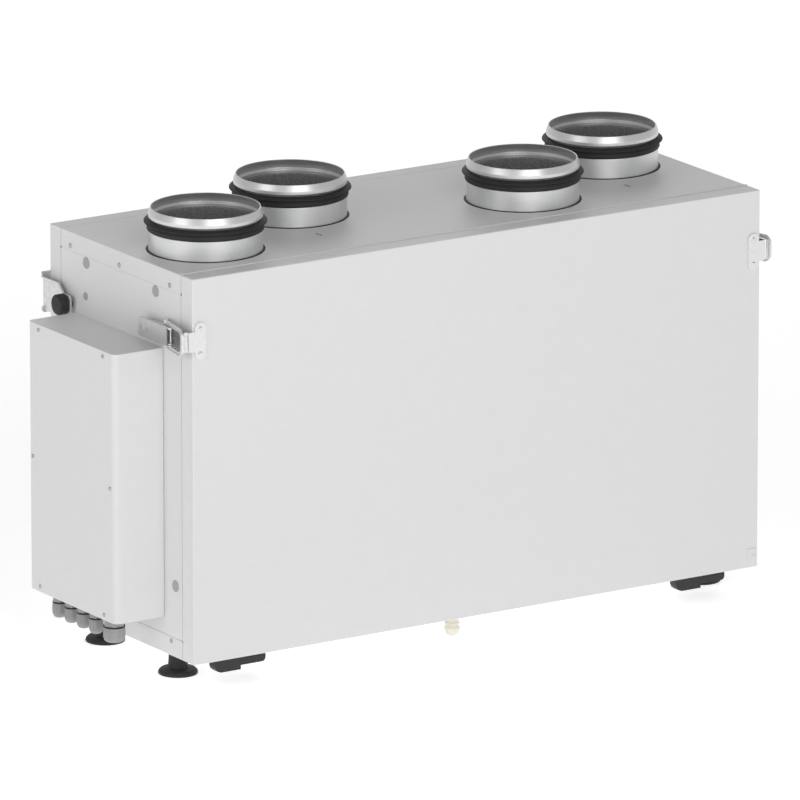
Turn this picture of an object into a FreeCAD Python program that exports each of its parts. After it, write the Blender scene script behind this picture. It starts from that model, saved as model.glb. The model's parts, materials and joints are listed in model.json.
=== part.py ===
import FreeCAD, Part
import math
import operator
import os

import Sketcher
from FreeCAD import Placement, Rotation, Vector

# Heat recovery unit with four duct spigots on top, in millimetres, +Z up.
# Inside this file every place is counted from the case: x from its left end, y from the
# front of the door to the rear, z from the underside of the case. Each sub-part's own
# Placement then moves it to the model's origin, under the middle of the whole unit.

DIMENSIONS = [
    # Case
    ("case_length", 957), ("case_depth", 383), ("case_height", 560), ("skin", 1.2),
    ("door_depth", 29.5), ("seam", 1.0), ("rear_depth", 29.5), ("flange_height", 28),
    ("edge_radius", 1.6), ("return_width", 18), ("relief_radius", 1.9),
    ("gasket_width", 12), ("gasket_inset", 6), ("door_recess", 2.5),
    # Foam lining and the room inside it
    ("lining_side", 32), ("lining_top", 32), ("lining_bottom", 46),
    # Spigots
    ("spigot_radius", 81), ("spigot_sheet", 1.0), ("spigot_hole_radius", 84.5),
    ("spigot_flange_radius", 93.5), ("spigot_tail", 20), ("neck_height", 29),
    ("seal_zone", 18.7), ("seal_groove", 3.5), ("land_height", 5), ("rim_height", 9),
    ("rim_taper", 3.0), ("lip_upper", 87.3), ("lip_lower", 84.8),
    ("spigot_a", 109.5), ("spigot_b", 314), ("spigot_c", 643), ("spigot_d", 846),
    ("spigot_front", 141), ("spigot_rear", 242),
    # Control box
    ("box_reach", 81.5), ("box_front", 77.5), ("box_rear", 311), ("box_foot", 53.5),
    ("box_head", 445), ("box_fold", 9), ("box_skin", 1.4), ("cover_gap", 1.2), ("box_screw_radius", 3),
    ("box_screw_inset", 30), ("box_screw_end", 7.8), ("box_screw_mid_inset", 12.5),
    ("gland_line", 60), ("gland_first", 116), ("gland_step_large", 49), ("gland_pitch", 33),
    ("gland_radius", 10.4), ("gland_large_radius", 15.8), ("gland_drop", 36),
    ("gland_waist", 12.4),
    # Hinges
    ("hinge_y", 22), ("hinge_drop", 8), ("knuckle_radius", 7.8), ("hinge_pin_radius", 3),
    ("hinge_left", 43.5), ("hinge_right", 825), ("leaf_width", 43), ("hinge_width", 84.5),
    ("leaf_gap", 0.4), ("leaf_depth", 22), ("leaf_front", 14),
    # Feet
    ("foot_inset", 33), ("foot_front", 96), ("foot_rear", 293), ("foot_height", 38.5),
    ("foot_disc_radius", 28.5), ("foot_stem_radius", 13.2), ("foot_disc_height", 6),
    # Latches: distances off the side face, back from the door front, and up the case
    ("latch_height", 470), ("latch_pivot_off", 8.5), ("latch_pivot_back", 44.5),
    ("bail_pivot_off", 5), ("bail_pivot_back", 62), ("bail_length", 66.2), ("bail_off", 17.5),
    ("lever_half", 13.6), ("lever_end", 121), ("lever_face", 15), ("lever_sheet", 1.4),
    ("lever_nose", 6.5), ("latch_pin_radius", 1.5), ("pin_clearance", 0.1),
    ("bail_half", 20.2), ("bail_strip", 6), ("bail_sheet", 2.2), ("bail_bar_half", 15),
    ("keeper_sheet", 2), ("keeper_width", 18), ("keeper_half", 27), ("keeper_inset", 2.8),
    ("keeper_neck", 29), ("curl_radius", 4.7), ("curl_off", 10.3), ("curl_sheet", 1.5),
    # Wall brackets
    ("bracket_height", 455), ("bracket_sheet", 3), ("bracket_off", 7), ("buffer_radius", 15),
    ("buffer_neck", 7.5),
    ("buffer_length", 14), ("buffer_y", 329), ("stud_radius", 4),
    # Drain
    ("drain_x", 463), ("drain_y", 48), ("drain_drop", 35), ("drain_bore", 7),
    ("drain_crest", 11.35), ("drain_body", 10),
    # Exchanger and filters
    ("core_foot", 132), ("core_rise", 150), ("core_tip", 228.5), ("core_front", 38),
    ("core_rear", 288), ("cap_sheet", 4), ("filter_sheet", 25), ("filter_gap", 3),
    # Fans
    ("fan_x", 118), ("fan_y", 192), ("deck_height", 250), ("partition_x", 212),
    ("fan_radius", 78), ("fan_eye_radius", 54), ("fan_foot", 262), ("fan_rise", 58),
    ("rotor_radius", 44), ("rotor_rise", 26), ("shaft_radius", 4), ("sheet", 1.5),
    # Bypass
    ("bypass_y", 292), ("bypass_x", 252), ("bypass_width", 110), ("bypass_height", 60),
    ("bypass_z", 485), ("flap_gap", 1.2), ("bypass_pin_radius", 3),
    # How far the unit reaches beyond its case, which centres the model on its origin
    ("reach_left", 82.9), ("reach_right", 24), ("reach_front", 3.6), ("reach_rear", 3),
]

doc = FreeCAD.newDocument("HeatRecoveryUnit")
sheet = doc.addObject("Spreadsheet::Sheet", "Dims")
for row, (alias, number) in enumerate(DIMENSIONS, start=1):
    sheet.set("A%d" % row, alias)
    sheet.set("B%d" % row, str(number))
    sheet.setAlias("B%d" % row, alias)
doc.recompute()


# ---------------------------------------------------------------- sizes and placing

class Size:
    """A length that holds its number and the sheet formula that gives it."""

    def __init__(self, number, formula):
        self.number = float(number)
        self.formula = formula

    def __add__(self, other):
        return combine(self, "+", other)

    def __radd__(self, other):
        return combine(other, "+", self)

    def __sub__(self, other):
        return combine(self, "-", other)

    def __rsub__(self, other):
        return combine(other, "-", self)

    def __mul__(self, other):
        return combine(self, "*", other)

    def __rmul__(self, other):
        return combine(other, "*", self)

    def __truediv__(self, other):
        return combine(self, "/", other)

    def __neg__(self):
        return combine(0, "-", self)


OPERATIONS = {"+": operator.add, "-": operator.sub, "*": operator.mul, "/": operator.truediv}


def as_size(value):
    if isinstance(value, Size):
        return value
    return Size(value, "(%r)" % float(value))


def combine(left, sign, right):
    left = as_size(left)
    right = as_size(right)
    number = OPERATIONS[sign](left.number, right.number)
    return Size(number, "(%s %s %s)" % (left.formula, sign, right.formula))


class Dimensions:
    """Gives each cell of the sheet as a Size, by its alias."""

    def __getattr__(self, alias):
        return Size(sheet.get(alias), "Dims." + alias)


d = Dimensions()

SHIFT = (
    (d.reach_left - d.case_length - d.reach_right) / 2,
    (d.reach_front - d.case_depth - d.reach_rear) / 2,
    d.foot_height,
)
TURNS = {
    "x": Rotation(Vector(0, 1, 0), 90),
    "-x": Rotation(Vector(0, 1, 0), -90),
    "y": Rotation(Vector(1, 0, 0), -90),
    "-y": Rotation(Vector(1, 0, 0), 90),
    "z": Rotation(),
    "-z": Rotation(Vector(1, 0, 0), 180),
}
spots = {}
nodes = []


def bind(part, prop, value):
    part.setExpression(prop, as_size(value).formula)


def place(part, spot, rotation=None):
    """Put a part's own origin at a spot of the case."""
    if rotation is not None:
        part.Placement = Placement(Vector(0, 0, 0), rotation)
    for letter, value in zip("xyz", spot):
        bind(part, "Placement.Base." + letter, value)
    spots[part.Name] = spot


def node(label, part, centred=True):
    """Make a part one of the unit's sub-parts, and move it to the model's origin."""
    spot = spots.get(part.Name, (0, 0, 0))
    if centred:
        for letter, value, shift in zip("xyz", spot, SHIFT):
            bind(part, "Placement.Base." + letter, shift + value)
    part.Label = label
    nodes.append(part)
    return part


# ---------------------------------------------------------------- solids and booleans

def box(name, low, high):
    part = doc.addObject("Part::Box", name)
    for prop, start, end in zip(("Length", "Width", "Height"), low, high):
        bind(part, prop, as_size(end) - start)
    place(part, low)
    return part


def rod(name, start, axis, radius, length):
    part = doc.addObject("Part::Cylinder", name)
    bind(part, "Radius", radius)
    bind(part, "Height", length)
    place(part, start, TURNS[axis])
    return part


def group(name, parts):
    part = doc.addObject("Part::Compound", name)
    part.Links = list(parts)
    return part


def fuse(name, *parts):
    part = doc.addObject("Part::MultiFuse", name)
    part.Shapes = list(parts)
    return part


def cut(name, base, *tools):
    part = doc.addObject("Part::Cut", name)
    part.Base = base
    part.Tool = tools[0] if len(tools) == 1 else fuse(name + "_tools", *tools)
    return part


def common(name, base, tool):
    part = doc.addObject("Part::Common", name)
    part.Base = base
    part.Tool = tool
    return part


def rounded(name, base, radius, wanted):
    """Round the edges of a Part object that the test picks out."""
    doc.recompute()
    part = doc.addObject("Part::Fillet", name)
    part.Base = base
    value = as_size(radius).number
    edges = enumerate(base.Shape.Edges, start=1)
    part.Edges = [(index, value, value) for index, edge in edges if wanted(edge)]
    return part


def mirror_here(name, source):
    """The same piece at the other end of the case, before it is moved to the origin."""
    part = doc.addObject("Part::Mirroring", name)
    part.Source = source
    part.Normal = Vector(1, 0, 0)
    bind(part, "Base.x", d.case_length / 2)
    return part


def mirror(name, source):
    """The same sub-part at the other end of the case; its source is already moved."""
    part = mirror_here(name, source)
    bind(part, "Base.x", d.case_length / 2 + SHIFT[0])
    return part


def middle(edge):
    box_of_edge = edge.BoundBox
    return box_of_edge.Center


def along(edge, letter):
    """True for a straight edge that runs along X, Y or Z."""
    spans = {"x": edge.BoundBox.XLength, "y": edge.BoundBox.YLength, "z": edge.BoundBox.ZLength}
    others = [span for name, span in spans.items() if name != letter]
    return spans[letter] > 0.01 and max(others) < 0.001


def near(value, size):
    return abs(value - as_size(size).number) < 0.01


# ---------------------------------------------------------------- PartDesign bodies

def new_body(name, spot=(0, 0, 0), rotation=None):
    body = doc.addObject("PartDesign::Body", name)
    place(body, spot, rotation)
    return body


def draw(body, name, role, corners):
    """A closed outline on one of the body's planes, each corner bound to the sheet."""
    sketch = body.newObject("Sketcher::SketchObject", name)
    plane = [item for item in body.Origin.OriginFeatures if item.Role == role][0]
    sketch.AttachmentSupport = [(plane, "")]
    sketch.MapMode = "FlatFace"
    points = [Vector(as_size(a).number, as_size(b).number, 0) for a, b in corners]
    count = len(points)
    for index in range(count):
        sketch.addGeometry(Part.LineSegment(points[index], points[(index + 1) % count]), False)
    for index in range(count):
        sketch.addConstraint(Sketcher.Constraint("Coincident", index, 2, (index + 1) % count, 1))
    for index, corner in enumerate(corners):
        for kind, value, axis in zip(("DistanceX", "DistanceY"), corner, (-2, -1)):
            size = as_size(value)
            if abs(size.number) < 1e-9:
                sketch.addConstraint(Sketcher.Constraint("PointOnObject", index, 1, axis))
            else:
                rule = Sketcher.Constraint(kind, -1, 1, index, 1, size.number)
                number = sketch.addConstraint(rule)
                sketch.setExpression("Constraints[%d]" % number, size.formula)
    return sketch


def pad(body, name, role, corners, length, reverse=False, both_ways=False):
    feature = body.newObject("PartDesign::Pad", name)
    feature.Profile = draw(body, name + "_outline", role, corners)
    bind(feature, "Length", length)
    feature.Reversed = reverse
    feature.Midplane = both_ways
    return feature


def revolve(body, name, corners):
    """Turn an outline of (radius, height) corners about the body's Z axis."""
    feature = body.newObject("PartDesign::Revolution", name)
    sketch = draw(body, name + "_outline", "XZ_Plane", corners)
    feature.Profile = sketch
    feature.ReferenceAxis = (sketch, ["V_Axis"])
    feature.Angle = 360
    return feature


def soften(body, name, radius, wanted):
    """Round the edges of a body's latest feature that the test picks out."""
    doc.recompute()
    tip = body.Tip
    picked = ["Edge%d" % index for index, edge in enumerate(tip.Shape.Edges, start=1) if wanted(edge)]
    feature = body.newObject("PartDesign::Fillet", name)
    feature.Base = (tip, picked)
    bind(feature, "Radius", radius)
    return feature


def turned(name, spot, corners, rotation=None):
    body = new_body(name, spot, rotation)
    revolve(body, name + "_turn", corners)
    return body


def screw(name, head, axis, head_radius, head_height, shank_radius, shank_length):
    """A pan-head screw: its head starts on the surface and its shank goes the other way."""
    body = new_body(name, head, TURNS[axis])
    head_radius = as_size(head_radius)
    head_height = as_size(head_height)
    shank_end = -as_size(shank_length)
    crown = 0.72 * head_radius
    shoulder = 0.45 * head_height
    socket = 0.25 * head_radius
    socket_floor = 0.4 * head_height
    revolve(body, name + "_turn", [
        (0, shank_end), (shank_radius, shank_end), (shank_radius, 0), (head_radius, 0),
        (head_radius, shoulder), (crown, head_height), (socket, head_height),
        (socket, socket_floor), (0, socket_floor),
    ])
    return body


# ---------------------------------------------------------------- case

LENGTH = d.case_length
DEPTH = d.case_depth
HEIGHT = d.case_height
SKIN = d.skin
CASE_FRONT = d.door_depth + d.seam
CASE_REAR = DEPTH - d.rear_depth - d.seam
LINING_GAP = 2 * SKIN + 0.2
ROOM_LEFT = d.lining_side
ROOM_RIGHT = LENGTH - d.lining_side
ROOM_FLOOR = d.lining_bottom
ROOM_CEILING = HEIGHT - d.lining_top
SPIGOTS = [
    ("spigot_supply_air", d.spigot_a, d.spigot_front),
    ("spigot_extract_air", d.spigot_b, d.spigot_rear),
    ("spigot_outdoor_air", d.spigot_c, d.spigot_front),
    ("spigot_exhaust_air", d.spigot_d, d.spigot_rear),
]


def tray(name, low, high, inner_low, inner_high, outer_edges):
    """A shallow folded tray of thin sheet, with its outer folds rounded."""
    blank = box(name + "_blank", low, high)
    folded = rounded(name + "_folded", blank, d.edge_radius, outer_edges)
    return cut(name + "_tray", folded, box(name + "_hollow", inner_low, inner_high))


PANEL_SCREW_ROWS = (("upper", HEIGHT - 21), ("lower", as_size(22)))
PANEL_SCREW_COLUMNS = (60, 195, 327)
PANEL_SCREW_RADIUS = 1.8
FOOT_BOLT_RADIUS = 4
PLUGS = ((284, 523, 8.5), (97.5, 522.4, 8.5), (48, 105, 8.5), (286, 474, 5.9))  # y, z, radius


def panel_screw_holes(name):
    """One hole through both ends of the case for each pair of panel screws."""
    holes = []
    for row, z in PANEL_SCREW_ROWS:
        for column, y in enumerate(PANEL_SCREW_COLUMNS):
            hole_name = "%s_%s_%d" % (name, row, column)
            holes.append(rod(hole_name, (-1, y, z), "x", PANEL_SCREW_RADIUS, LENGTH + 2))
    return holes


def foot_places():
    places = []
    for end, x in (("left", d.foot_inset), ("right", LENGTH - d.foot_inset)):
        for row, y in (("front", d.foot_front), ("rear", d.foot_rear)):
            places.append(("foot_%s_%s" % (row, end), x, y))
    return places


def foot_bolt_holes(name):
    return [rod(name + "_" + foot, (x, y, -1), "z", FOOT_BOLT_RADIUS, 14) for foot, x, y in foot_places()]


def stud_hole(name):
    return rod(name, (-40, d.buffer_y, d.bracket_height), "x", d.stud_radius, LENGTH + 80)


def relief_holes(name, y):
    """The small round reliefs where a flange's end meets an upright seam."""
    holes = []
    for end, z in (("low", d.flange_height), ("high", HEIGHT - d.flange_height)):
        holes.append(rod("%s_%s" % (name, end), (-1, y, z), "x", d.relief_radius, LENGTH + 2))
    return holes


FRONT_SEAM = d.door_depth + d.seam / 2
REAR_SEAM = DEPTH - d.rear_depth - d.seam / 2


def make_door():
    shell = tray(
        "door", (0, 0, 0), (LENGTH, d.door_depth, HEIGHT),
        (SKIN, SKIN, SKIN), (LENGTH - SKIN, d.door_depth + 1, HEIGHT - SKIN),
        lambda edge: near(middle(edge).y, 0) or along(edge, "y"),
    )
    node("door_outer_sheet", cut("door_sheet", shell, *relief_holes("door_relief", FRONT_SEAM)))
    inner_y = d.door_depth - d.door_recess
    low = (SKIN, SKIN, SKIN)
    high = (LENGTH - SKIN, inner_y - SKIN, HEIGHT - SKIN)
    node("door_insulation", box("door_foam", low, high))
    low = (SKIN, inner_y - SKIN, SKIN)
    high = (LENGTH - SKIN, inner_y, HEIGHT - SKIN)
    node("door_inner_sheet", box("door_liner", low, high))
    inset = SKIN + d.gasket_inset
    width = inset + d.gasket_width
    seal_rear = CASE_FRONT - 0.2
    ring = box("seal_outer", (inset, inner_y, inset), (LENGTH - inset, seal_rear, HEIGHT - inset))
    window = box("seal_window", (width, 0, width), (LENGTH - width, DEPTH, HEIGHT - width))
    node("door_seal", cut("seal_ring", ring, window))
    wide = 16
    tall = 20
    thick = 0.9
    plate = new_body("corner_plate", (LENGTH - 2 - wide, 0, 8))
    pad(plate, "corner_pad", "XZ_Plane", [(0, 0), (wide, 0), (wide, tall), (0, tall)], thick)
    soften(plate, "corner_round", 2, lambda edge: along(edge, "y"))
    stud = screw("corner_screw", (LENGTH - 7, -thick, 16.2), "-y", 3.2, 1.4, 1.6, 0.8)
    node("door_corner_plate", group("corner_set", [plate, stud]))


def make_rear():
    rear_front = DEPTH - d.rear_depth
    shell = tray(
        "rear", (0, rear_front, 0), (LENGTH, DEPTH, HEIGHT),
        (SKIN, rear_front - 1, SKIN), (LENGTH - SKIN, DEPTH - SKIN, HEIGHT - SKIN),
        lambda edge: near(middle(edge).y, DEPTH) or along(edge, "y"),
    )
    node("rear_panel", cut("rear_sheet", shell, *relief_holes("rear_relief", REAR_SEAM)))
    low = (SKIN, rear_front, SKIN)
    high = (LENGTH - SKIN, DEPTH - SKIN, HEIGHT - SKIN)
    node("rear_insulation", box("rear_foam", low, high))


def end_sheet(name, low_z, high_z, plate_z):
    """The blank of the top or bottom panel, with its two end folds rounded."""
    blank = box(name + "_blank", (0, CASE_FRONT, low_z), (LENGTH, CASE_REAR, high_z))
    return rounded(
        name + "_folded", blank, d.edge_radius,
        lambda edge: along(edge, "y") and near(middle(edge).z, plate_z),
    )


def make_top():
    low_z = HEIGHT - d.flange_height
    folded = end_sheet("top", low_z, HEIGHT, HEIGHT)
    hollow = box("top_hollow", (SKIN, 0, low_z - 1), (LENGTH - SKIN, DEPTH, HEIGHT - SKIN))
    holes = []
    for name, x, y in SPIGOTS:
        holes.append(rod(name + "_hole", (x, y, low_z), "z", d.spigot_hole_radius, 40))
    holes.extend(panel_screw_holes("top_screw_hole"))
    holes.extend(relief_holes("top_front_relief", FRONT_SEAM))
    holes.extend(relief_holes("top_rear_relief", REAR_SEAM))
    node("top_panel", cut("top_sheet", folded, hollow, *holes))


def make_bottom():
    folded = end_sheet("bottom", 0, d.flange_height, 0)
    hollow = box("bottom_hollow", (SKIN, 0, SKIN), (LENGTH - SKIN, DEPTH, d.flange_height + 1))
    holes = [rod("bottom_drain", (d.drain_x, d.drain_y, -1), "z", d.drain_body + 1, 10)]
    holes.extend(foot_bolt_holes("bottom_bolt_hole"))
    holes.extend(panel_screw_holes("bottom_screw_hole"))
    holes.extend(relief_holes("bottom_front_relief", FRONT_SEAM))
    holes.extend(relief_holes("bottom_rear_relief", REAR_SEAM))
    node("bottom_panel", cut("bottom_sheet", folded, hollow, *holes))


def make_sides():
    """Side panels: flush between the flanges, with a joggled edge behind each flange."""
    low_line = d.flange_height + 0.8
    high_line = HEIGHT - d.flange_height - 0.25
    plate = box("side_plate", (0, CASE_FRONT, low_line), (SKIN, CASE_REAR, high_line))
    joggle = box("side_joggle", (SKIN, CASE_FRONT, 3), (2 * SKIN, CASE_REAR, HEIGHT - 3))
    low = (2 * SKIN, CASE_FRONT, 3)
    turn_in = box("side_return", low, (d.return_width, CASE_FRONT + SKIN, HEIGHT - 3))
    holes = panel_screw_holes("side_screw_hole") + [stud_hole("side_stud_hole")]
    holes.extend(relief_holes("side_front_relief", FRONT_SEAM))
    holes.extend(relief_holes("side_rear_relief", REAR_SEAM))
    sheet_left = cut("side_left", fuse("side_whole", plate, joggle, turn_in), *holes)
    left = node("side_panel_left", sheet_left)
    node("side_panel_right", mirror("side_right", left), centred=False)


def make_lining():
    """Four foam boards: floor, ceiling with the collars' ways, left and right."""
    front = CASE_FRONT + SKIN
    low = SKIN + 0.1
    high = HEIGHT - SKIN - 0.1
    far = LENGTH - LINING_GAP
    floor = box("lining_floor", (LINING_GAP, front, low), (far, CASE_REAR, ROOM_FLOOR))
    ceiling = box("lining_ceiling", (LINING_GAP, front, ROOM_CEILING), (far, CASE_REAR, high))
    side_low = (LINING_GAP, front, ROOM_FLOOR)
    side = box("lining_side", side_low, (ROOM_LEFT, CASE_REAR, ROOM_CEILING))
    flange_pocket = 2 * SKIN + 0.3
    ways = []
    for name, x, y in SPIGOTS:
        ring_z = HEIGHT - flange_pocket
        ways.append(rod(name + "_way", (x, y, ROOM_CEILING - 1), "z", d.spigot_radius + 1, 60))
        flange_radius = d.spigot_flange_radius + 0.5
        ways.append(rod(name + "_seat", (x, y, ring_z), "z", flange_radius, 10))
    holes = [rod("lining_drain", (d.drain_x, d.drain_y, -1), "z", d.drain_body + 1, 60)]
    holes.extend(foot_bolt_holes("lining_bolt_hole"))
    left = cut("lining_left", side, stud_hole("lining_stud_hole"))
    boards = [
        cut("lining_floor_board", floor, *holes), cut("lining_ceiling_board", ceiling, *ways),
        left, mirror_here("lining_right", left),
    ]
    node("case_lining", group("lining_set", boards))


def make_fasteners():
    screws = []
    for row, z in PANEL_SCREW_ROWS:
        for column, y in enumerate(PANEL_SCREW_COLUMNS):
            for end, x, axis in (("left", 0, "-x"), ("right", LENGTH, "x")):
                name = "panel_screw_%s_%s_%d" % (end, row, column)
                spot = (x, y, z)
                screws.append(screw(name, spot, axis, 3.6, 1.3, PANEL_SCREW_RADIUS, 2 * SKIN))
    node("panel_screws", group("panel_screw_set", screws))
    plugs = []
    for number, (y, z, radius) in enumerate(PLUGS):
        for end, x, axis in (("left", 0, "-x"), ("right", LENGTH, "x")):
            plugs.append(turned("plug_%s_%d" % (end, number), (x, y, z), [
                (0, 0), (radius, 0), (radius, 0.5), (radius - 0.8, 1.1),
                (radius - 2.4, 1.1), (radius - 3.0, 0.7), (0, 0.7),
            ], TURNS[axis]))
    node("panel_plugs", group("panel_plug_set", plugs))


# ---------------------------------------------------------------- spigots and seals

def make_spigots():
    """Sheet collars: flange under the top panel, neck, seal groove, straight land, tapered rim."""
    outer = d.spigot_radius
    inner = d.spigot_radius - d.spigot_sheet
    groove = outer - d.seal_groove
    thin = d.spigot_sheet
    neck = d.neck_height
    land = neck + d.seal_zone
    taper = land + d.land_height
    rim = taper + d.rim_height
    seals = []
    for name, x, y in SPIGOTS:
        node(name, turned(name + "_body", (x, y, HEIGHT), [
            (inner, -d.spigot_tail), (outer, -d.spigot_tail), (outer, -SKIN - 1),
            (d.spigot_flange_radius, -SKIN - 1), (d.spigot_flange_radius, -SKIN),
            (outer, -SKIN), (outer, neck), (groove, neck + 2), (groove, land - 2),
            (outer, land), (outer, taper), (outer - d.rim_taper, rim),
            (outer - d.rim_taper - thin, rim), (inner, taper - 0.3), (inner, land + 0.5),
            (groove - thin, land - 1.5), (groove - thin, neck + 1.5), (inner, neck - 0.5),
        ]))
        seat = groove + 0.05
        seals.append(turned(name + "_seal", (x, y, HEIGHT + neck), [
            (seat, 2.6), (d.lip_lower - 2.4, 0.4), (d.lip_lower - 0.6, 0.8), (d.lip_lower, 2.2),
            (d.lip_lower - 0.4, 6.2), (d.lip_lower - 1.8, 8.8), (outer + 0.5, 9.9),
            (d.lip_upper - 1.4, 10.4), (d.lip_upper, 11.7), (d.lip_upper - 0.4, 13.0),
            (d.lip_upper - 2.4, 14.0), (outer + 0.8, 15.5), (seat + 1.4, 16.2), (seat, 15.8),
        ]))
    node("spigot_seals", group("seal_set", seals))


# ---------------------------------------------------------------- control box

def make_control_box():
    skin = d.box_skin
    blank = box(
        "cover_blank", (-d.box_reach, d.box_front, d.box_foot),
        (-d.cover_gap, d.box_rear, d.box_head),
    )
    folded = rounded(
        "cover_folded", blank, d.box_fold,
        lambda edge: along(edge, "z") and near(middle(edge).x, -d.box_reach),
    )
    inner_left = skin - d.box_reach
    room = rounded(
        "cover_room",
        box("cover_room_blank", (inner_left, d.box_front + skin, 0), (1, d.box_rear - skin, HEIGHT)),
        d.box_fold - skin,
        lambda edge: along(edge, "z") and near(middle(edge).x, inner_left),
    )
    screw_places = []
    for row, z, inset in (
        ("low", d.box_foot + d.box_screw_end, d.box_screw_inset),
        ("mid", (d.box_foot + d.box_head) / 2, d.box_screw_mid_inset),
        ("high", d.box_head - d.box_screw_end, d.box_screw_inset),
    ):
        for side, y in (("front", d.box_front + inset), ("rear", d.box_rear - inset)):
            screw_places.append(("cover_screw_%s_%s" % (row, side), y, z))
    screw_shank = 1.4
    screw_holes = [
        rod(name + "_hole", (-d.box_reach - 1, y, z), "x", screw_shank, 4) for name, y, z in screw_places
    ]
    node("control_box_cover", cut("cover_shell", folded, room, *screw_holes))
    base = rounded(
        "base_folded",
        box(
            "base_blank", (inner_left, d.box_front + skin, d.box_foot),
            (0, d.box_rear - skin, d.box_head),
        ),
        d.box_fold - skin,
        lambda edge: along(edge, "z") and near(middle(edge).x, inner_left),
    )
    hollow = box(
        "base_hollow", (inner_left - 1, d.box_front + 2 * skin, d.box_foot + skin),
        (-skin, d.box_rear - 2 * skin, d.box_head - skin),
    )
    holes = []
    for name, y, radius, hole in gland_places():
        start = (-d.gland_line, y, d.box_foot - 1)
        holes.append(rod(name + "_hole", start, "z", hole, 6))
    node("control_box_base", cut("base_shell", base, hollow, *holes))
    screws = []
    for name, y, z in screw_places:
        spot = (-d.box_reach, y, z)
        screws.append(screw(name, spot, "-x", d.box_screw_radius, 1.4, screw_shank, skin))
    node("control_box_screws", group("cover_screw_set", screws))


LARGE_GLAND_HOLE = 10
SMALL_GLAND_HOLE = 7.5


def gland_places():
    places = [("gland_large", d.gland_first, d.gland_large_radius, LARGE_GLAND_HOLE)]
    for number in range(4):
        y = d.gland_first + d.gland_step_large + number * d.gland_pitch
        places.append(("gland_small_%d" % (number + 1), y, d.gland_radius, SMALL_GLAND_HOLE))
    return places


def make_glands():
    """Cable glands under the box: lock nut inside, hexagon, ribbed dome nut, closed seal."""
    glands = []
    for name, y, radius, hole in gland_places():
        spot = (-d.gland_line, y, d.box_foot)
        radius = as_size(radius)
        bore = as_size(hole) - 0.1
        waist = -d.gland_waist
        nut = radius - 0.5
        end = -d.gland_drop
        stem = turned(name + "_stem", spot, [
            (0, 9), (bore, 9), (bore, 0), (radius - 1.8, 0), (radius - 1.8, waist - 1.6),
            (nut - 0.4, waist - 2.1), (nut, waist - 3), (nut, end + 6), (nut - 0.9, end + 3),
            (nut - 2.4, end + 1.2), (nut - 4.4, end + 0.2), (nut - 5.6, end), (nut - 6.6, end),
            (nut - 7.0, end + 3), (0, end + 3),
        ])
        hexagon = new_body(name + "_hex", (-d.gland_line, y, d.box_foot + waist))
        corners = []
        for index in range(6):
            angle = math.radians(60 * index)
            corners.append((radius * math.cos(angle), radius * math.sin(angle)))
        pad(hexagon, name + "_hex_pad", "XY_Plane", corners, d.gland_waist - 0.4)
        lock = rod(name + "_lock", (spot[0], y, d.box_foot + d.box_skin), "z", radius - 1, 4)
        ribs = []
        rib_count = 12
        rib_width = 1.8
        for index in range(rib_count):
            angle = 360.0 / rib_count * index
            rib = doc.addObject("Part::Box", "%s_rib_%d" % (name, index))
            bind(rib, "Length", 1.6)
            bind(rib, "Width", rib_width)
            bind(rib, "Height", 12)
            reach = (radius - 1.6).number
            start = Placement(Vector(reach, -rib_width / 2, (end + 7).number), Rotation())
            rib.Placement = Placement(Vector(), Rotation(Vector(0, 0, 1), angle)) * start
            ribs.append(rib)
        crown = fuse(name + "_crown", *ribs)
        place(crown, spot)
        glands.append(fuse(name + "_whole", stem, hexagon, lock, crown))
    node("cable_gland_large", glands[0])
    node("cable_glands_small", group("gland_small_set", glands[1:]))


def make_control_board():
    """Board on stand-offs with terminal rows, transformer and relays."""
    left = -d.box_skin - 10
    front = d.box_front + 20
    foot = d.box_foot + 40
    parts = [box("board", (left - 1.6, front, foot), (left, front + 180, foot + 280))]
    blocks = [
        ("terminals", 14, 8, 10, 160, 12), ("transformer", 34, 20, 60, 60, 50),
        ("relay_one", 16, 100, 60, 28, 20), ("relay_two", 16, 135, 60, 28, 20),
        ("capacitor", 24, 110, 110, 24, 24), ("driver", 20, 20, 150, 60, 60),
        ("connectors", 12, 20, 250, 140, 14),
    ]
    for name, tall, y, z, wide, high in blocks:
        low = (left - 1.6 - tall, front + y, foot + z)
        parts.append(box(name, low, (left - 1.6, front + y + wide, foot + z + high)))
    for number, (y, z) in enumerate(((6, 6), (174, 6), (6, 274), (174, 274))):
        parts.append(rod("standoff_%d" % number, (left, front + y, foot + z), "x", 3, 10))
    node("control_board", fuse("board_set", *parts))


# ---------------------------------------------------------------- hinges and feet

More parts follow.
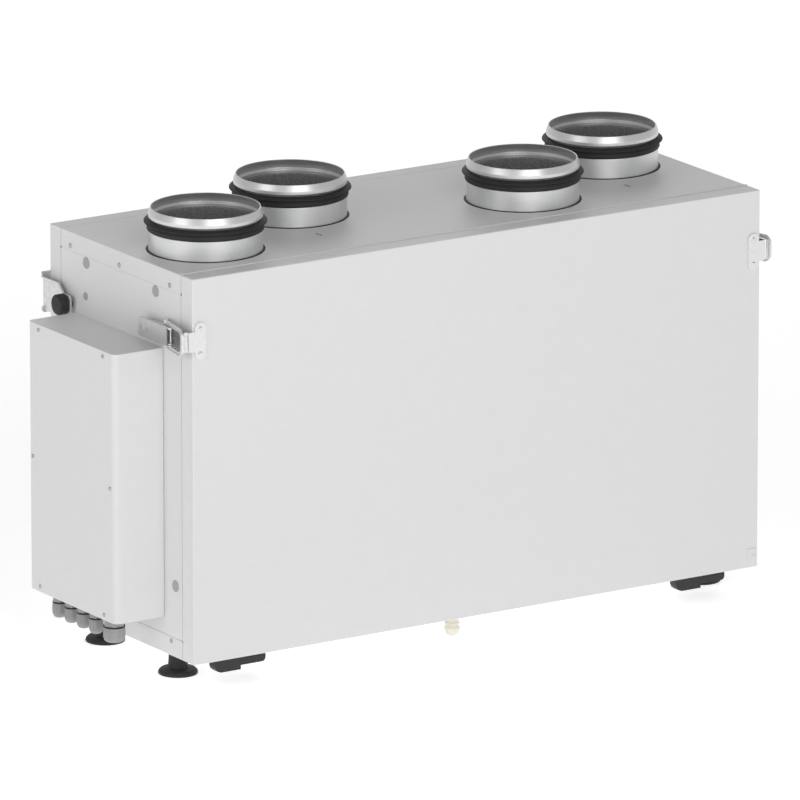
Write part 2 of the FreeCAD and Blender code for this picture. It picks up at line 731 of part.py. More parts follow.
def make_hinges():
    """Two lift-off hinges of the same hand: the door leaf carries a bore, the case leaf a pin."""
    drop = d.hinge_drop
    knuckle = d.knuckle_radius
    door_leaves = []
    case_leaves = []
    pins = []
    wedge_rear = CASE_FRONT + 30
    wedge_depth = 80
    leaf_rear = CASE_FRONT + 18
    pin_inset = 8
    pin_grip = 29
    for end, x in (("left", d.hinge_left), ("right", d.hinge_right)):
        leaf_end = x + d.leaf_width
        pin_end = x + d.hinge_width
        tall = new_body("door_leaf_block_" + end, (x, d.hinge_y, 0))
        front = d.leaf_front - d.hinge_y
        pad(tall, "door_leaf_pad_" + end, "YZ_Plane", [
            (front, 0), (front, -d.leaf_depth), (2.0, -d.leaf_depth), (5.2, 1.2 - d.leaf_depth),
            (7.3, 4.5 - d.leaf_depth), (knuckle - 0.2, -drop), (4, -3), (0, -0.4), (0, 0),
        ], d.leaf_width)
        barrel = rod("door_knuckle_" + end, (x, d.hinge_y, -drop), "x", knuckle, d.leaf_width)
        whole = fuse("door_leaf_whole_" + end, tall, barrel)
        bore_radius = d.hinge_pin_radius + d.pin_clearance
        bore = rod("door_bore_" + end, (x + 6, d.hinge_y, -drop), "x", bore_radius, d.leaf_width)
        low = -d.leaf_depth
        wedge = new_body("door_leaf_wedge_" + end, (x, wedge_rear, 0))
        pad(wedge, "door_leaf_wedge_pad_" + end, "XZ_Plane", [
            (-1, low - 1), (12, low - 1), (10.5, low), (5.2, low + 1.8), (1.8, low + 5.0), (0, low + 9.5),
            (-1, low + 9.5),
        ], wedge_depth)
        door_leaves.append(cut("door_leaf_" + end, whole, bore, wedge))
        start = leaf_end + d.leaf_gap
        width = pin_end - start
        low_block = box(
            "case_leaf_low_" + end, (start, d.leaf_front + 0.4, -2 * drop),
            (pin_end, d.hinge_y, -drop),
        )
        rear_block = box(
            "case_leaf_rear_" + end, (start, d.hinge_y, -2 * drop), (pin_end, leaf_rear, -0.4),
        )
        foot_block = box(
            "case_leaf_foot_" + end, (start, CASE_FRONT + 0.2, -1),
            (pin_end, leaf_rear, 0),
        )
        ring = rod("case_knuckle_" + end, (start, d.hinge_y, -drop), "x", knuckle, width)
        leaf = fuse("case_leaf_whole_" + end, low_block, rear_block, foot_block, ring)
        hole = rod("case_bore_" + end, (start - 1, d.hinge_y, -drop), "x", d.hinge_pin_radius, 30)
        low = -2 * drop
        wedge = new_body("case_leaf_wedge_" + end, (pin_end, wedge_rear, 0))
        pad(wedge, "case_leaf_wedge_pad_" + end, "XZ_Plane", [
            (1, low - 1), (1, low + 5.2), (0, low + 5.2), (-0.9, low + 2.6), (-2.8, low + 0.8),
            (-5.4, low), (-6.6, low - 1),
        ], wedge_depth)
        case_leaves.append(cut("case_leaf_" + end, leaf, hole, wedge))
        length = d.leaf_width - pin_inset + d.leaf_gap + pin_grip
        spot = (x + pin_inset, d.hinge_y, -drop)
        pins.append(rod("hinge_pin_" + end, spot, "x", d.hinge_pin_radius, length))
    node("hinge_door_leaves", group("door_leaf_set", door_leaves))
    node("hinge_case_leaves", group("case_leaf_set", case_leaves))
    node("hinge_pins", group("hinge_pin_set", pins))


def make_feet():
    feet = []
    bolts = []
    stem = d.foot_stem_radius
    disc = d.foot_disc_radius
    low = -d.foot_height
    bolt = FOOT_BOLT_RADIUS
    bore = bolt + 0.2
    for name, x, y in foot_places():
        feet.append(turned(name, (x, y, 0), [
            (bore, 0), (stem - 0.8, 0), (stem, -6), (stem + 0.9, low + 12),
            (stem + 1.6, low + d.foot_disc_height + 3.2), (disc - 3.4, low + 7.0),
            (disc - 0.8, low + 4.4), (disc, low + 1.2), (disc - 0.8, low), (9, low),
            (9, low + 8), (bore, low + 8),
        ]))
        bolts.append(turned(name + "_bolt", (x, y, 0), [
            (0, low + 2), (6.5, low + 2), (6.5, low + 7.9), (bolt, low + 7.9), (bolt, 12), (0, 12),
        ]))
    node("feet", group("feet_set", feet))
    node("foot_bolts", group("foot_bolt_set", bolts))


# ---------------------------------------------------------------- toggle latches (left, mirrored)

def make_latch():
    """Left latch. The lever turns about a pin in the base; the bail turns about one in the lever."""
    z = d.latch_height
    pivot_x = -d.latch_pivot_off
    pivot_y = d.latch_pivot_back
    half = d.lever_half
    thin = d.lever_sheet
    pin = d.latch_pin_radius
    loose = pin + d.pin_clearance

    # Base: plate on the case's side with two ears inside the lever
    plate = box("latch_plate", (-thin, pivot_y - 8, z - 11.8), (0, pivot_y + 44, z + 11.8))
    ears = []
    for side, low in (("low", z - 11.8), ("high", z + 10.3)):
        disc = rod("latch_ear_disc_" + side, (pivot_x, pivot_y, low), "z", 4.6, 1.5)
        neck_low = (pivot_x, pivot_y - 2, low)
        neck = box("latch_ear_neck_" + side, neck_low, (-0.5, pivot_y + 2, low + 1.5))
        ears.extend([disc, neck])
    whole = fuse("latch_base_whole", plate, *ears)
    bore = rod("latch_base_bore", (pivot_x, pivot_y, z - 20), "z", pin, 40)
    base = cut("latch_base_cut", whole, bore)

    # Lever: channel with round-nosed flanges past its face, and a finger slot
    profile = new_body("lever_profile", (0, 0, z))
    pad(profile, "lever_pad", "XY_Plane", [
        (-d.lever_face, pivot_y), (-d.lever_face, d.lever_end), (-10.2, d.lever_end),
        (-10.2, 92), (-2.2, 72), (-2.0, pivot_y),
    ], 2 * half, both_ways=True)
    nose = rod("lever_nose_outer", (pivot_x, pivot_y, z - half), "z", d.lever_nose, 2 * half)
    blank = fuse("lever_blank", profile, nose)
    inside = box(
        "lever_inside", (thin - d.lever_face, pivot_y, z - half + thin),
        (5, d.lever_end - thin, z + half - thin),
    )
    nose_room = rod(
        "lever_nose_room", (pivot_x, pivot_y, z - half + thin), "z", d.lever_nose - thin,
        2 * (half - thin),
    )
    window_low = (-d.lever_face - 1, pivot_y - 10, z - half + thin)
    window = box("lever_window", window_low, (2, pivot_y, z + half - thin))
    slot = box("lever_slot", (-20, 98, z - 3.2), (thin - d.lever_face + 1, 111, z + 3.2))
    slot_ends = []
    for number, y in enumerate((98, 111)):
        slot_ends.append(rod("lever_slot_end_%d" % number, (-20, y, z), "x", 3.2, 8))
    bores = [
        rod("lever_bore_base", (pivot_x, pivot_y, z - 20), "z", loose, 40),
        rod("lever_bore_bail", (-d.bail_pivot_off, d.bail_pivot_back, z - 20), "z", pin, 40),
    ]
    channel = cut("lever_channel", blank, inside, nose_room, window, slot, *slot_ends, *bores)
    softened = rounded(
        "lever_soft", channel, 4.5,
        lambda edge: along(edge, "x") and near(middle(edge).y, d.lever_end),
    )
    bail_pin = rod(
        "bail_pin", (-d.bail_pivot_off, d.bail_pivot_back, z - d.bail_half), "z", pin,
        2 * d.bail_half,
    )

    # Bail: pressed U frame with raised edges, lying from its pivot out to the bar in front
    reach = Vector(
        (d.bail_pivot_off - d.bail_off).number, (0 - d.bail_pivot_back - 3).number, 0,
    ).normalize()
    up = Vector(0, 0, 1)
    frame_turn = Rotation(reach, up, reach.cross(up), "XYZ")
    spot = (-d.bail_pivot_off, d.bail_pivot_back, z)
    bail_body = new_body("bail_body", spot, frame_turn)
    length = d.bail_length
    outer = d.bail_half
    inner = outer - d.bail_strip
    strip = d.bail_strip + 1
    pad(bail_body, "bail_pad", "XY_Plane", [
        (0, outer), (length - 9, outer), (length, d.bail_bar_half), (length, -d.bail_bar_half),
        (length - 9, -outer), (0, -outer), (0, -inner), (length - strip - 5.2, -inner),
        (length - strip, 11.4 - d.bail_bar_half - 8), (length - strip, 8 + d.bail_bar_half - 11.4),
        (length - strip - 5.2, inner), (0, inner),
    ], d.bail_sheet, both_ways=True)
    soften(bail_body, "bail_round", 0.5, lambda edge: along(edge, "z"))
    trough = bail_body.newObject("PartDesign::Pocket", "bail_trough")
    doc.recompute()
    rim = 1.5
    trough.Profile = draw(bail_body, "bail_trough_outline", "XY_Plane", [
        (5, outer - rim), (length - 9.6, outer - rim), (length - rim, d.bail_bar_half - 0.8),
        (length - rim, 0.8 - d.bail_bar_half), (length - 9.6, rim - outer), (5, rim - outer),
        (5, -inner - rim), (length - strip - 4.6, -inner - rim),
        (length - strip + rim, rim - 12.6), (length - strip + rim, 12.6 - rim),
        (length - strip - 4.6, inner + rim), (5, inner + rim),
    ])
    trough.Reversed = True
    bind(trough, "Length", d.bail_sheet)
    return base, softened, bail_pin, bail_body, spot, inner, outer, pin, loose


def finish_latch():
    base, lever, bail_pin, bail_body, spot, inner, outer, pin, loose = make_latch()
    eyes = []
    z = d.latch_height
    for side, low in (("low", z - outer), ("high", z + inner)):
        eyes.append(rod("bail_eye_" + side, (spot[0], spot[1], low), "z", 3.3, d.bail_strip))
    whole = fuse("bail_whole", bail_body, *eyes)
    bore = rod("bail_bore", (spot[0], spot[1], z - 30), "z", loose, 60)
    bail = cut("bail", whole, bore)
    pivot = rod(
        "latch_pin", (-d.latch_pivot_off, d.latch_pivot_back, z - d.lever_half), "z", pin,
        2 * d.lever_half,
    )
    base_left = node("latch_base_left", group("latch_base_set", [base, pivot]))
    lever_left = node("latch_lever_left", group("lever_set", [lever, bail_pin]))
    bail_left = node("latch_bail_left", bail)
    node("latch_base_right", mirror("latch_base_mirror", base_left), centred=False)
    node("latch_lever_right", mirror("lever_mirror", lever_left), centred=False)
    node("latch_bail_right", mirror("bail_mirror", bail_left), centred=False)

    # Keeper: rounded plate on the door, neck past its edge, curled lip for the bail
    ears = new_body("keeper_ears", (d.keeper_inset, 0, z))
    width = d.keeper_width
    tall = d.keeper_half
    pad(ears, "keeper_pad", "XZ_Plane", [
        (0, -tall), (width, -tall), (width, tall), (0, tall),
    ], d.keeper_sheet)
    soften(ears, "keeper_round", 8.6, lambda edge: along(edge, "y"))
    half = d.keeper_neck / 2
    mid_y = -d.keeper_sheet + d.curl_sheet
    neck_end = d.curl_radius - d.curl_off
    neck = box(
        "keeper_neck", (neck_end - d.curl_sheet, -d.keeper_sheet, z - half),
        (d.keeper_inset + 4, 0, z + half),
    )
    curl = rod("keeper_curl", (-d.curl_off, mid_y, z - half), "z", d.curl_radius, d.keeper_neck)
    hollow_radius = d.curl_radius - d.curl_sheet
    hollow = rod("keeper_curl_hollow", (-d.curl_off, mid_y, z - 40), "z", hollow_radius, 80)
    rear_half = box(
        "keeper_curl_half", (-d.curl_off - 10, mid_y, z - half), (0, mid_y + 10, z + half),
    )
    lip = common("keeper_lip", cut("keeper_ring", curl, hollow), rear_half)
    keeper_middle = d.keeper_inset + d.keeper_width / 2
    shank = 1.9
    screw_rows = (("low", z - 18), ("high", z + 18))
    holes = [rod("keeper_hole_" + side, (keeper_middle, -20, spot_z), "y", shank, 19.9)
             for side, spot_z in screw_rows]
    keeper = cut("keeper_drilled", fuse("keeper_whole", ears, neck, lip), *holes)
    keeper_left = node("latch_keeper_left", keeper)
    node("latch_keeper_right", mirror("keeper_mirror", keeper_left), centred=False)
    screws = []
    for end, x in (("left", keeper_middle), ("right", LENGTH - keeper_middle)):
        for side, spot_z in screw_rows:
            name = "keeper_screw_%s_%s" % (end, side)
            spot = (x, -d.keeper_sheet, spot_z)
            screws.append(screw(name, spot, "-y", 3.4, 1.6, shank, d.keeper_sheet - 0.2))
    node("keeper_screws", group("keeper_screw_set", screws))


# ---------------------------------------------------------------- wall brackets

def make_brackets():
    """Left bracket: wall plate behind the case, folded arm beside it, rubber buffers and a stud."""
    z = d.bracket_height
    thin = d.bracket_sheet
    off = d.bracket_off
    arm = new_body("bracket_arm", (-off - thin, 0, z))
    pad(arm, "bracket_arm_pad", "YZ_Plane", [
        (DEPTH + thin, -21), (DEPTH + thin, 27), (DEPTH - 38, 27), (DEPTH - 50, 15),
        (DEPTH - 50, 14), (DEPTH - 66, 14), (DEPTH - 70, 9), (DEPTH - 70, -11),
        (DEPTH - 66, -17), (DEPTH - 40, -17), (DEPTH - 38, -21),
    ], thin)
    wall = new_body("bracket_wall", (-13, DEPTH + thin, z))
    pad(wall, "bracket_wall_pad", "XZ_Plane", [
        (0, -24), (35, -24), (35, 36), (0, 36), (0, 27), (3, 27), (3, -15), (0, -15),
    ], thin)
    soften(wall, "bracket_wall_round", 4, lambda edge: along(edge, "y") and (
        abs(middle(edge).z) > 20 and not near(middle(edge).z, 27)))
    holes = [rod("bracket_stud_hole", (-30, d.buffer_y, z), "x", d.stud_radius, 40)]
    wall_hole_radius = 3.25
    for number, lift in enumerate((-16, 28)):
        spot = (8, DEPTH - 5, z + lift)
        holes.append(rod("bracket_wall_hole_%d" % number, spot, "y", wall_hole_radius, 20))
    steel = cut("bracket_steel", fuse("bracket_whole", arm, wall), *holes)
    left = node("wall_bracket_left", steel)
    node("wall_bracket_right", mirror("bracket_mirror", left), centred=False)
    rubbers = []
    studs = []
    radius = d.buffer_radius
    stud = d.stud_radius
    long = d.buffer_length
    for end, x, axis in (("left", 0, "-x"), ("right", LENGTH, "x")):
        spot = (x, d.buffer_y, z)
        neck = d.buffer_neck
        rubbers.append(turned("buffer_inner_" + end, spot, [
            (stud, 0), (neck, 0), (neck - 0.8, 1.2), (neck - 0.8, off - 1.2), (neck, off),
            (stud, off),
        ], TURNS[axis]))
        near_face = off + thin
        far_face = near_face + long
        rubbers.append(turned("buffer_outer_" + end, spot, [
            (stud, near_face), (radius, near_face), (radius, far_face - 3),
            (radius - 1, far_face - 1.3), (radius - 3.2, far_face - 0.4), (0, far_face),
            (0, far_face - 3.8), (stud, far_face - 3.8),
        ], TURNS[axis]))
        studs.append(turned("buffer_stud_" + end, spot, [
            (0, -9), (stud, -9), (stud, far_face - 4), (0, far_face - 4),
        ], TURNS[axis]))
    node("bracket_buffers", group("buffer_set", rubbers))
    node("bracket_studs", group("stud_set", studs))


# ---------------------------------------------------------------- drain

def make_drain():
    low = (150, CASE_FRONT + 1.5, ROOM_FLOOR)
    high = (LENGTH - 150, CASE_REAR - 4, ROOM_FLOOR + 16)
    outer = box("pan_outer", low, high)
    inner = box(
        "pan_inner", (152, CASE_FRONT + 3, ROOM_FLOOR + 2), (LENGTH - 152, CASE_REAR - 6, 200),
    )
    hole = rod("pan_hole", (d.drain_x, d.drain_y, 0), "z", d.drain_body, 100)
    node("drain_pan", cut("pan", outer, inner, hole))
    bore = d.drain_bore
    body = d.drain_body
    crest = d.drain_crest
    low = -d.drain_drop
    node("drain_nipple", turned("nipple", (d.drain_x, d.drain_y, 0), [
        (bore, low), (body - 0.8, low), (body + 0.4, low + 5.5), (crest, low + 6.2),
        (crest, low + 9.6), (body + 0.2, low + 11), (body - 0.4, low + 12.4),
        (body - 0.4, low + 13.8), (crest - 0.4, low + 14.4), (crest - 0.4, low + 16.6),
        (body - 0.2, low + 17.4), (body - 0.2, -4), (body + 4, -4), (body + 4, -0.2),
        (body - 0.2, -0.2), (body - 0.2, ROOM_FLOOR + 2), (body + 4, ROOM_FLOOR + 2),
        (body + 4, ROOM_FLOOR + 4), (bore, ROOM_FLOOR + 4),
    ]))


# ---------------------------------------------------------------- exchanger, filters, partitions

def core_outline(grow):
    """The counterflow core's six-sided outline, grown outwards by a small amount."""
    left = d.core_tip - grow
    right = LENGTH - d.core_tip + grow
    rise = d.core_rise
    low = d.core_foot - grow
    high = d.core_foot + 2 * rise + grow
    mid = d.core_foot + rise
    return [
        (left, mid), (left + rise + grow, low), (right - rise - grow, low), (right, mid),
        (right - rise - grow, high), (left + rise + grow, high),
    ]


def make_core():
    """Plate pack with an end cap at each end and a grip; gives its two seal rails back."""
    core = new_body("core_body")
    front = d.core_front + d.cap_sheet
    rear = d.core_rear - d.cap_sheet
    pad(core, "core_pad", "XZ_Plane", core_outline(0), rear - front)
    place(core, (0, rear, 0))
    node("exchanger_core", core)
    caps = []
    for side, y in (("front", front), ("rear", d.core_rear)):
        cap = new_body("core_cap_" + side, (0, y, 0))
        pad(cap, "core_cap_pad_" + side, "XZ_Plane", core_outline(2), d.cap_sheet)
        caps.append(cap)
    grip = box(
        "core_grip_block", (LENGTH / 2 - 60, d.core_front - 4, d.core_foot + 138),
        (LENGTH / 2 + 60, d.core_front, d.core_foot + 162),
    )
    node("core_end_caps", group("core_cap_set", caps + [grip]))
    rails = []
    top = d.core_foot + 2 * d.core_rise
    for side, low_z, high_z in (("low", d.core_foot - 4, d.core_foot - 2.2),
                                ("high", top + 2.2, top + 4)):
        low = (LENGTH / 2 - 95, d.core_front + 4, low_z)
        high = (LENGTH / 2 + 95, d.core_rear - 4, high_z)
        rails.append(box("core_rail_" + side, low, high))
    return rails


def make_filters():
    """A slanted cassette over each upper face of the core, with pleats and a pull tab."""
    long = 198
    climb = 9
    thick = d.filter_sheet
    front = d.core_front
    depth = d.core_rear - d.core_front
    frame = box("filter_blank", (0, 0, 0), (long, depth, thick))
    windows = [
        box("filter_window_low", (8, 8, -1), (long - 8, depth - 8, 3)),
        box("filter_window_high", (8, 8, thick - 3), (long - 8, depth - 8, thick + 1)),
    ]
    tab = box("filter_tab", (long / 2 - 18, -6, thick / 2 - 1.5), (long / 2 + 18, 0, thick / 2 + 1.5))
    grooves = []
    pitch = 15
    for number in range(12):
        low = (12 + number * pitch, 8, 2)
        high = (12 + number * pitch + 6, depth - 8, thick - 6)
        if number % 2:
            low = (low[0], 8, 6)
            high = (high[0], depth - 8, thick - 2)
        grooves.append(box("filter_pleat_%d" % number, low, high))
    cassette = fuse("filter_cassette", cut("filter_frame", frame, *windows, *grooves), tab)
    lift = (d.filter_gap + 2) * math.sqrt(0.5)
    cassette.Placement = Placement(Vector(), Rotation(Vector(0, 1, 0), -45))
    spot = (d.core_tip + climb - lift, front, d.core_foot + d.core_rise + climb + lift)
    place(cassette, spot)
    left = node("filter_left", cassette)
    node("filter_right", mirror("filter_mirror", left), centred=False)


def make_partitions(rails):
    """Thin walls that keep the four air paths apart, and the seal rails between them."""
    thin = d.sheet
    front = CASE_FRONT + 4
    rear = CASE_REAR - 2
    deck = d.deck_height
    top = ROOM_CEILING - 0.5
    wall_x = d.partition_x
    wall = box("deck_wall", (wall_x, front, deck), (wall_x + thin, rear, top))
    floor = box("deck_floor", (ROOM_LEFT + 0.5, front, deck), (wall_x, rear, deck + thin))
    ledge = box("deck_ledge", (wall_x + thin, front, deck), (254, rear, deck + thin))
    eye = rod("deck_eye", (d.fan_x, d.fan_y, deck - 5), "z", d.fan_eye_radius + 4, 20)
    left = group("deck", [wall, cut("deck_plate", floor, eye), ledge])
    node("fan_decks", group("deck_set", [left, mirror_here("deck_mirror", left)]))
    mid = LENGTH / 2
    core_top = d.core_foot + 2 * d.core_rise + 4.2
    low_y = d.core_front + 2
    high_y = d.core_rear - 2
    walls = [
        box("divider_high", (mid - thin, low_y, core_top), (mid, high_y, top)),
        box("divider_low", (mid - thin, low_y, ROOM_FLOOR + 17), (mid, high_y, d.core_foot - 4.2)),
    ]
    node("core_dividers", group("divider_set", walls + rails))


# ---------------------------------------------------------------- fans

def make_fans():
    """External-rotor radial fans: inlet ring in the deck, turning impeller, fixed stator bridge."""
    spot = (d.fan_x, d.fan_y, 0)
    deck = d.deck_height
    eye = d.fan_eye_radius
    ring = turned("inlet_ring", spot, [
        (eye + 14, deck + 1.6), (eye + 2, deck + 1.6), (eye - 1, deck + 4), (eye - 3, deck + 10.5),
        (eye - 4.5, deck + 10.5), (eye - 2.6, deck + 3), (eye + 1, deck + 0.2),
        (eye + 3.9, deck + 0.2), (eye + 3.9, deck + 1.5), (eye + 14, deck + 1.5 + 0.05),
    ])
    node("fan_inlet_rings", group("ring_set", [ring, mirror_here("ring_mirror", ring)]))
    foot = d.fan_foot
    top = foot + d.fan_rise
    radius = d.fan_radius
    hub = turned("impeller_hub", (0, 0, 0), [
        (d.shaft_radius + d.pin_clearance, foot + 30), (20, foot + 30), (34, top - 1.8),
        (radius, top - 1.8), (radius, top), (d.rotor_radius, top),
        (d.rotor_radius, top + d.rotor_rise), (d.shaft_radius + d.pin_clearance, top + d.rotor_rise),
    ])
    shroud = turned("impeller_shroud", (0, 0, 0), [
        (eye - 1, foot - 0.5), (eye + 0.6, foot - 0.5), (eye + 4, foot + 3.4), (radius, foot + 8),
        (radius, foot + 9.6), (eye + 3, foot + 4.8), (eye - 1, foot + 1),
    ])
    blades = []
    blade_count = 9
    for index in range(blade_count):
        blade = doc.addObject("Part::Box", "blade_%d" % index)
        bind(blade, "Length", 34)
        bind(blade, "Width", 1.6)
        bind(blade, "Height", top - 1 - foot - 7)
        start = Placement(Vector(48, 0, (foot + 7).number), Rotation(Vector(0, 0, 1), -38))
        turn = Placement(Vector(), Rotation(Vector(0, 0, 1), 360.0 / blade_count * index))
        blade.Placement = turn * start
        blades.append(blade)
    rim = rod("impeller_limit", (0, 0, foot - 2), "z", radius, d.fan_rise + 60)
    blade_set = common("impeller_blades", fuse("blade_ring", *blades), rim)
    wheel = fuse("impeller", hub, shroud, blade_set)
    place(wheel, spot)
    impeller = node("fan_impeller_left", wheel)
    node("fan_impeller_right", mirror("impeller_mirror", impeller), centred=False)
    stator_z = top + d.rotor_rise + 1.5
    bridge = box(
        "stator_bridge", (ROOM_LEFT + 0.5, d.fan_y - 16, stator_z + 8),
        (d.partition_x - 0.2, d.fan_y + 16, stator_z + 10.5),
    )
    hub_disc = rod("stator_hub", (d.fan_x, d.fan_y, stator_z), "z", 30, 8)
    shaft = rod(
        "stator_shaft", (d.fan_x, d.fan_y, foot + 34), "z", d.shaft_radius, stator_z - foot - 33,
    )
    stator = fuse("stator", bridge, hub_disc, shaft)
    node("fan_stators", group("stator_set", [stator, mirror_here("stator_mirror", stator)]))


# ---------------------------------------------------------------- bypass and sensors

def make_bypass():
    """Plate behind the core with a window, a butterfly flap on a cross shaft, an actuator."""
    y = d.bypass_y
    thin = 2
    x = d.bypass_x
    wide = d.bypass_width
    half = d.bypass_height / 2
    z = d.bypass_z
    pin = d.bypass_pin_radius
    low = (d.partition_x + d.sheet + 0.5, y, ROOM_FLOOR + 17)
    high = (LENGTH - d.partition_x - d.sheet - 0.5, y + thin, ROOM_CEILING - 0.5)
    plate = box("bypass_blank", low, high)
    window = box("bypass_window", (x, y - 5, z - half), (x + wide, y + 5 + thin, z + half))
    ears = []
    for side, ear_x in (("left", x - 6), ("right", x + wide + 1)):
        ear_low = (ear_x, y - 6, z - 7)
        ears.append(box("bypass_ear_" + side, ear_low, (ear_x + 5, y + thin + 6, z + 7)))
    bore = rod("bypass_bore", (x - 20, y + 1, z), "x", pin + d.pin_clearance, wide + 40)
    notches = []
    for end, notch_x in (("left", low[0] - 1), ("right", high[0] - 41)):
        notch_low = (notch_x, y - 1, d.deck_height - 0.5)
        notch_high = (notch_x + 42, y + thin + 1, d.deck_height + d.sheet + 0.5)
        notches.append(box("bypass_notch_" + end, notch_low, notch_high))
    whole = fuse("bypass_sheet", plate, *ears)
    node("bypass_plate", cut("bypass_frame", whole, window, bore, *notches))
    gap = d.flap_gap
    leaf_low = (x + gap, y + 0.2, z - half + gap)
    leaf = box("flap_leaf", leaf_low, (x + wide - gap, y + 1.8, z + half - gap))
    shaft = rod("flap_shaft", (x - 18, y + 1, z), "x", pin, wide + 26)
    node("bypass_flap", fuse("flap", leaf, shaft))
    motor = box("actuator_case", (x - 34, y - 22, z - 22), (x - 8, y - 0.2, z + 22))
    motor_bore = rod("actuator_bore", (x - 40, y + 1, z), "x", pin + 2, 60)
    node("bypass_actuator", cut("actuator", motor, motor_bore))
    sensors = []
    places = ((90, 480), (400, 440), (LENGTH - 400, 440), (LENGTH - 90, 480))
    for number, (sensor_x, sensor_z) in enumerate(places):
        spot = (sensor_x, CASE_REAR - 50, sensor_z)
        sensors.append(rod("air_sensor_%d" % number, spot, "y", 3, 49.8))
    node("air_sensors", group("sensor_set", sensors))


# ---------------------------------------------------------------- build, check, write

make_door()
make_rear()
make_top()
make_bottom()
make_sides()
make_lining()
make_fasteners()
make_spigots()
make_control_box()
make_glands()
make_control_board()
make_hinges()
make_feet()
finish_latch()
make_brackets()
make_drain()
core_rails = make_core()
make_filters()
make_partitions(core_rails)
make_fans()
make_bypass()
doc.recompute()

faults = []
for part in doc.Objects:
    if "Invalid" in part.State or "Error" in part.State:
        faults.append("%s is %s" % (part.Name, part.State))
for part in nodes:
    if part.Shape.isNull() or not part.Shape.isValid():
        faults.append("%s has a null or invalid shape" % part.Label)
if faults:
    raise SystemExit("\n".join(faults))

os.makedirs("parts", exist_ok=True)
whole = FreeCAD.BoundBox()
for part in nodes:
    part.Shape.exportStep("parts/%s.step" % part.Label)
    whole.add(part.Shape.BoundBox)
    print("%-22s %3d solids %12.1f mm3" % (part.Label, len(part.Shape.Solids), part.Shape.Volume))
print("nodes", len(nodes), "x", whole.XMin, whole.XMax, "y", whole.YMin, whole.YMax,
      "z", whole.ZMin, whole.ZMax)
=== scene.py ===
"""Looks of the heat recovery unit: materials, finer pieces, light and camera round the CAD frame."""

import json
import math

import bmesh
import bpy
from mathutils import Matrix, Vector


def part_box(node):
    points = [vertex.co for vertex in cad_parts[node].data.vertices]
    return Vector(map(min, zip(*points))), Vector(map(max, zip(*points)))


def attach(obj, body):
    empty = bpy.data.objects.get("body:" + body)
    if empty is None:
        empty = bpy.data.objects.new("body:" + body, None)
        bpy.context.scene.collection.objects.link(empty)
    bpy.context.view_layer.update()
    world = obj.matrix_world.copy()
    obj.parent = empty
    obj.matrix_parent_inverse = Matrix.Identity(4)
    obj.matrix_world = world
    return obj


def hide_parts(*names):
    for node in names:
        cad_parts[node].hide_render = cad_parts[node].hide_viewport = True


MM = 0.001
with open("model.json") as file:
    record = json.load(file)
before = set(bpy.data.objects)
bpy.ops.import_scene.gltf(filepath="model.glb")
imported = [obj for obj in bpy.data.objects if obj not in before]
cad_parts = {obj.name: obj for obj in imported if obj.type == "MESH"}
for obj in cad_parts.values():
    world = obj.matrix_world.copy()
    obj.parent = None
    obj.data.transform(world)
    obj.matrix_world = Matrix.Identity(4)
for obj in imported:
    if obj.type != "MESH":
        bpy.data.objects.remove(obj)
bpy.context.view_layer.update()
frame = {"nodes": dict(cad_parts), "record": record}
scene = bpy.context.scene


# ---------------------------------------------------------------- node helpers

class Look:
    """One procedural material, with short ways to make the nodes it needs."""

    def __init__(self, name):
        self.material = bpy.data.materials.new(name)
        self.material.use_nodes = True
        self.tree = self.material.node_tree
        self.surface = self.tree.nodes["Principled BSDF"]
        self.place = self.make("ShaderNodeTexCoord").outputs["Object"]

    def make(self, kind, **settings):
        made = self.tree.nodes.new(kind)
        for key, value in settings.items():
            setattr(made, key, value)
        return made

    def link(self, output, socket):
        self.tree.links.new(output, socket)

    def plain(self, values):
        """Values that are the same all over, set on the shader's own sockets."""
        for name, value in values.items():
            self.surface.inputs[name].default_value = value

    def stretched(self, x, y, z):
        """The place, multiplied along each axis."""
        mapping = self.make("ShaderNodeMapping")
        mapping.inputs["Scale"].default_value = (x, y, z)
        self.link(self.place, mapping.inputs["Vector"])
        return mapping.outputs["Vector"]

    def noise(self, scale, detail=3.0, rough=0.55, place=None):
        made = self.make("ShaderNodeTexNoise")
        made.inputs["Scale"].default_value = scale
        made.inputs["Detail"].default_value = detail
        made.inputs["Roughness"].default_value = rough
        self.link(place or self.place, made.inputs["Vector"])
        return made.outputs["Fac"]

    def cells(self, scale, feature="F1", output="Distance"):
        made = self.make("ShaderNodeTexVoronoi", feature=feature)
        made.inputs["Scale"].default_value = scale
        self.link(self.place, made.inputs["Vector"])
        return made.outputs[output]

    def spread(self, value, low, high, start=0.0, end=1.0):
        """A value between start and end, moved to lie between low and high."""
        made = self.make("ShaderNodeMapRange")
        made.inputs["From Min"].default_value = start
        made.inputs["From Max"].default_value = end
        made.inputs["To Min"].default_value = low
        made.inputs["To Max"].default_value = high
        self.link(value, made.inputs["Value"])
        return made.outputs["Result"]

    def maths(self, operation, first, second):
        made = self.make("ShaderNodeMath", operation=operation)
        for value, socket in zip((first, second), made.inputs):
            if isinstance(value, (int, float)):
                socket.default_value = value
            else:
                self.link(value, socket)
        return made.outputs[0]

    def between(self, value, dark, light):
        """A colour between two, by a value from 0 to 1."""
        made = self.make("ShaderNodeMix", data_type="RGBA")
        made.inputs[6].default_value = (*dark, 1)
        made.inputs[7].default_value = (*light, 1)
        self.link(value, made.inputs[0])
        return made.outputs[2]

    def colour(self, value, dark, light):
        self.link(self.between(value, dark, light), self.surface.inputs["Base Color"])

    def roughness(self, value, low, high):
        self.link(self.spread(value, low, high), self.surface.inputs["Roughness"])

    def bump(self, height, depth, strength=1.0):
        """Relief of the given depth, in metres."""
        made = self.make("ShaderNodeBump")
        made.inputs["Strength"].default_value = strength
        made.inputs["Distance"].default_value = depth
        self.link(height, made.inputs["Height"])
        self.link(made.outputs["Normal"], self.surface.inputs["Normal"])


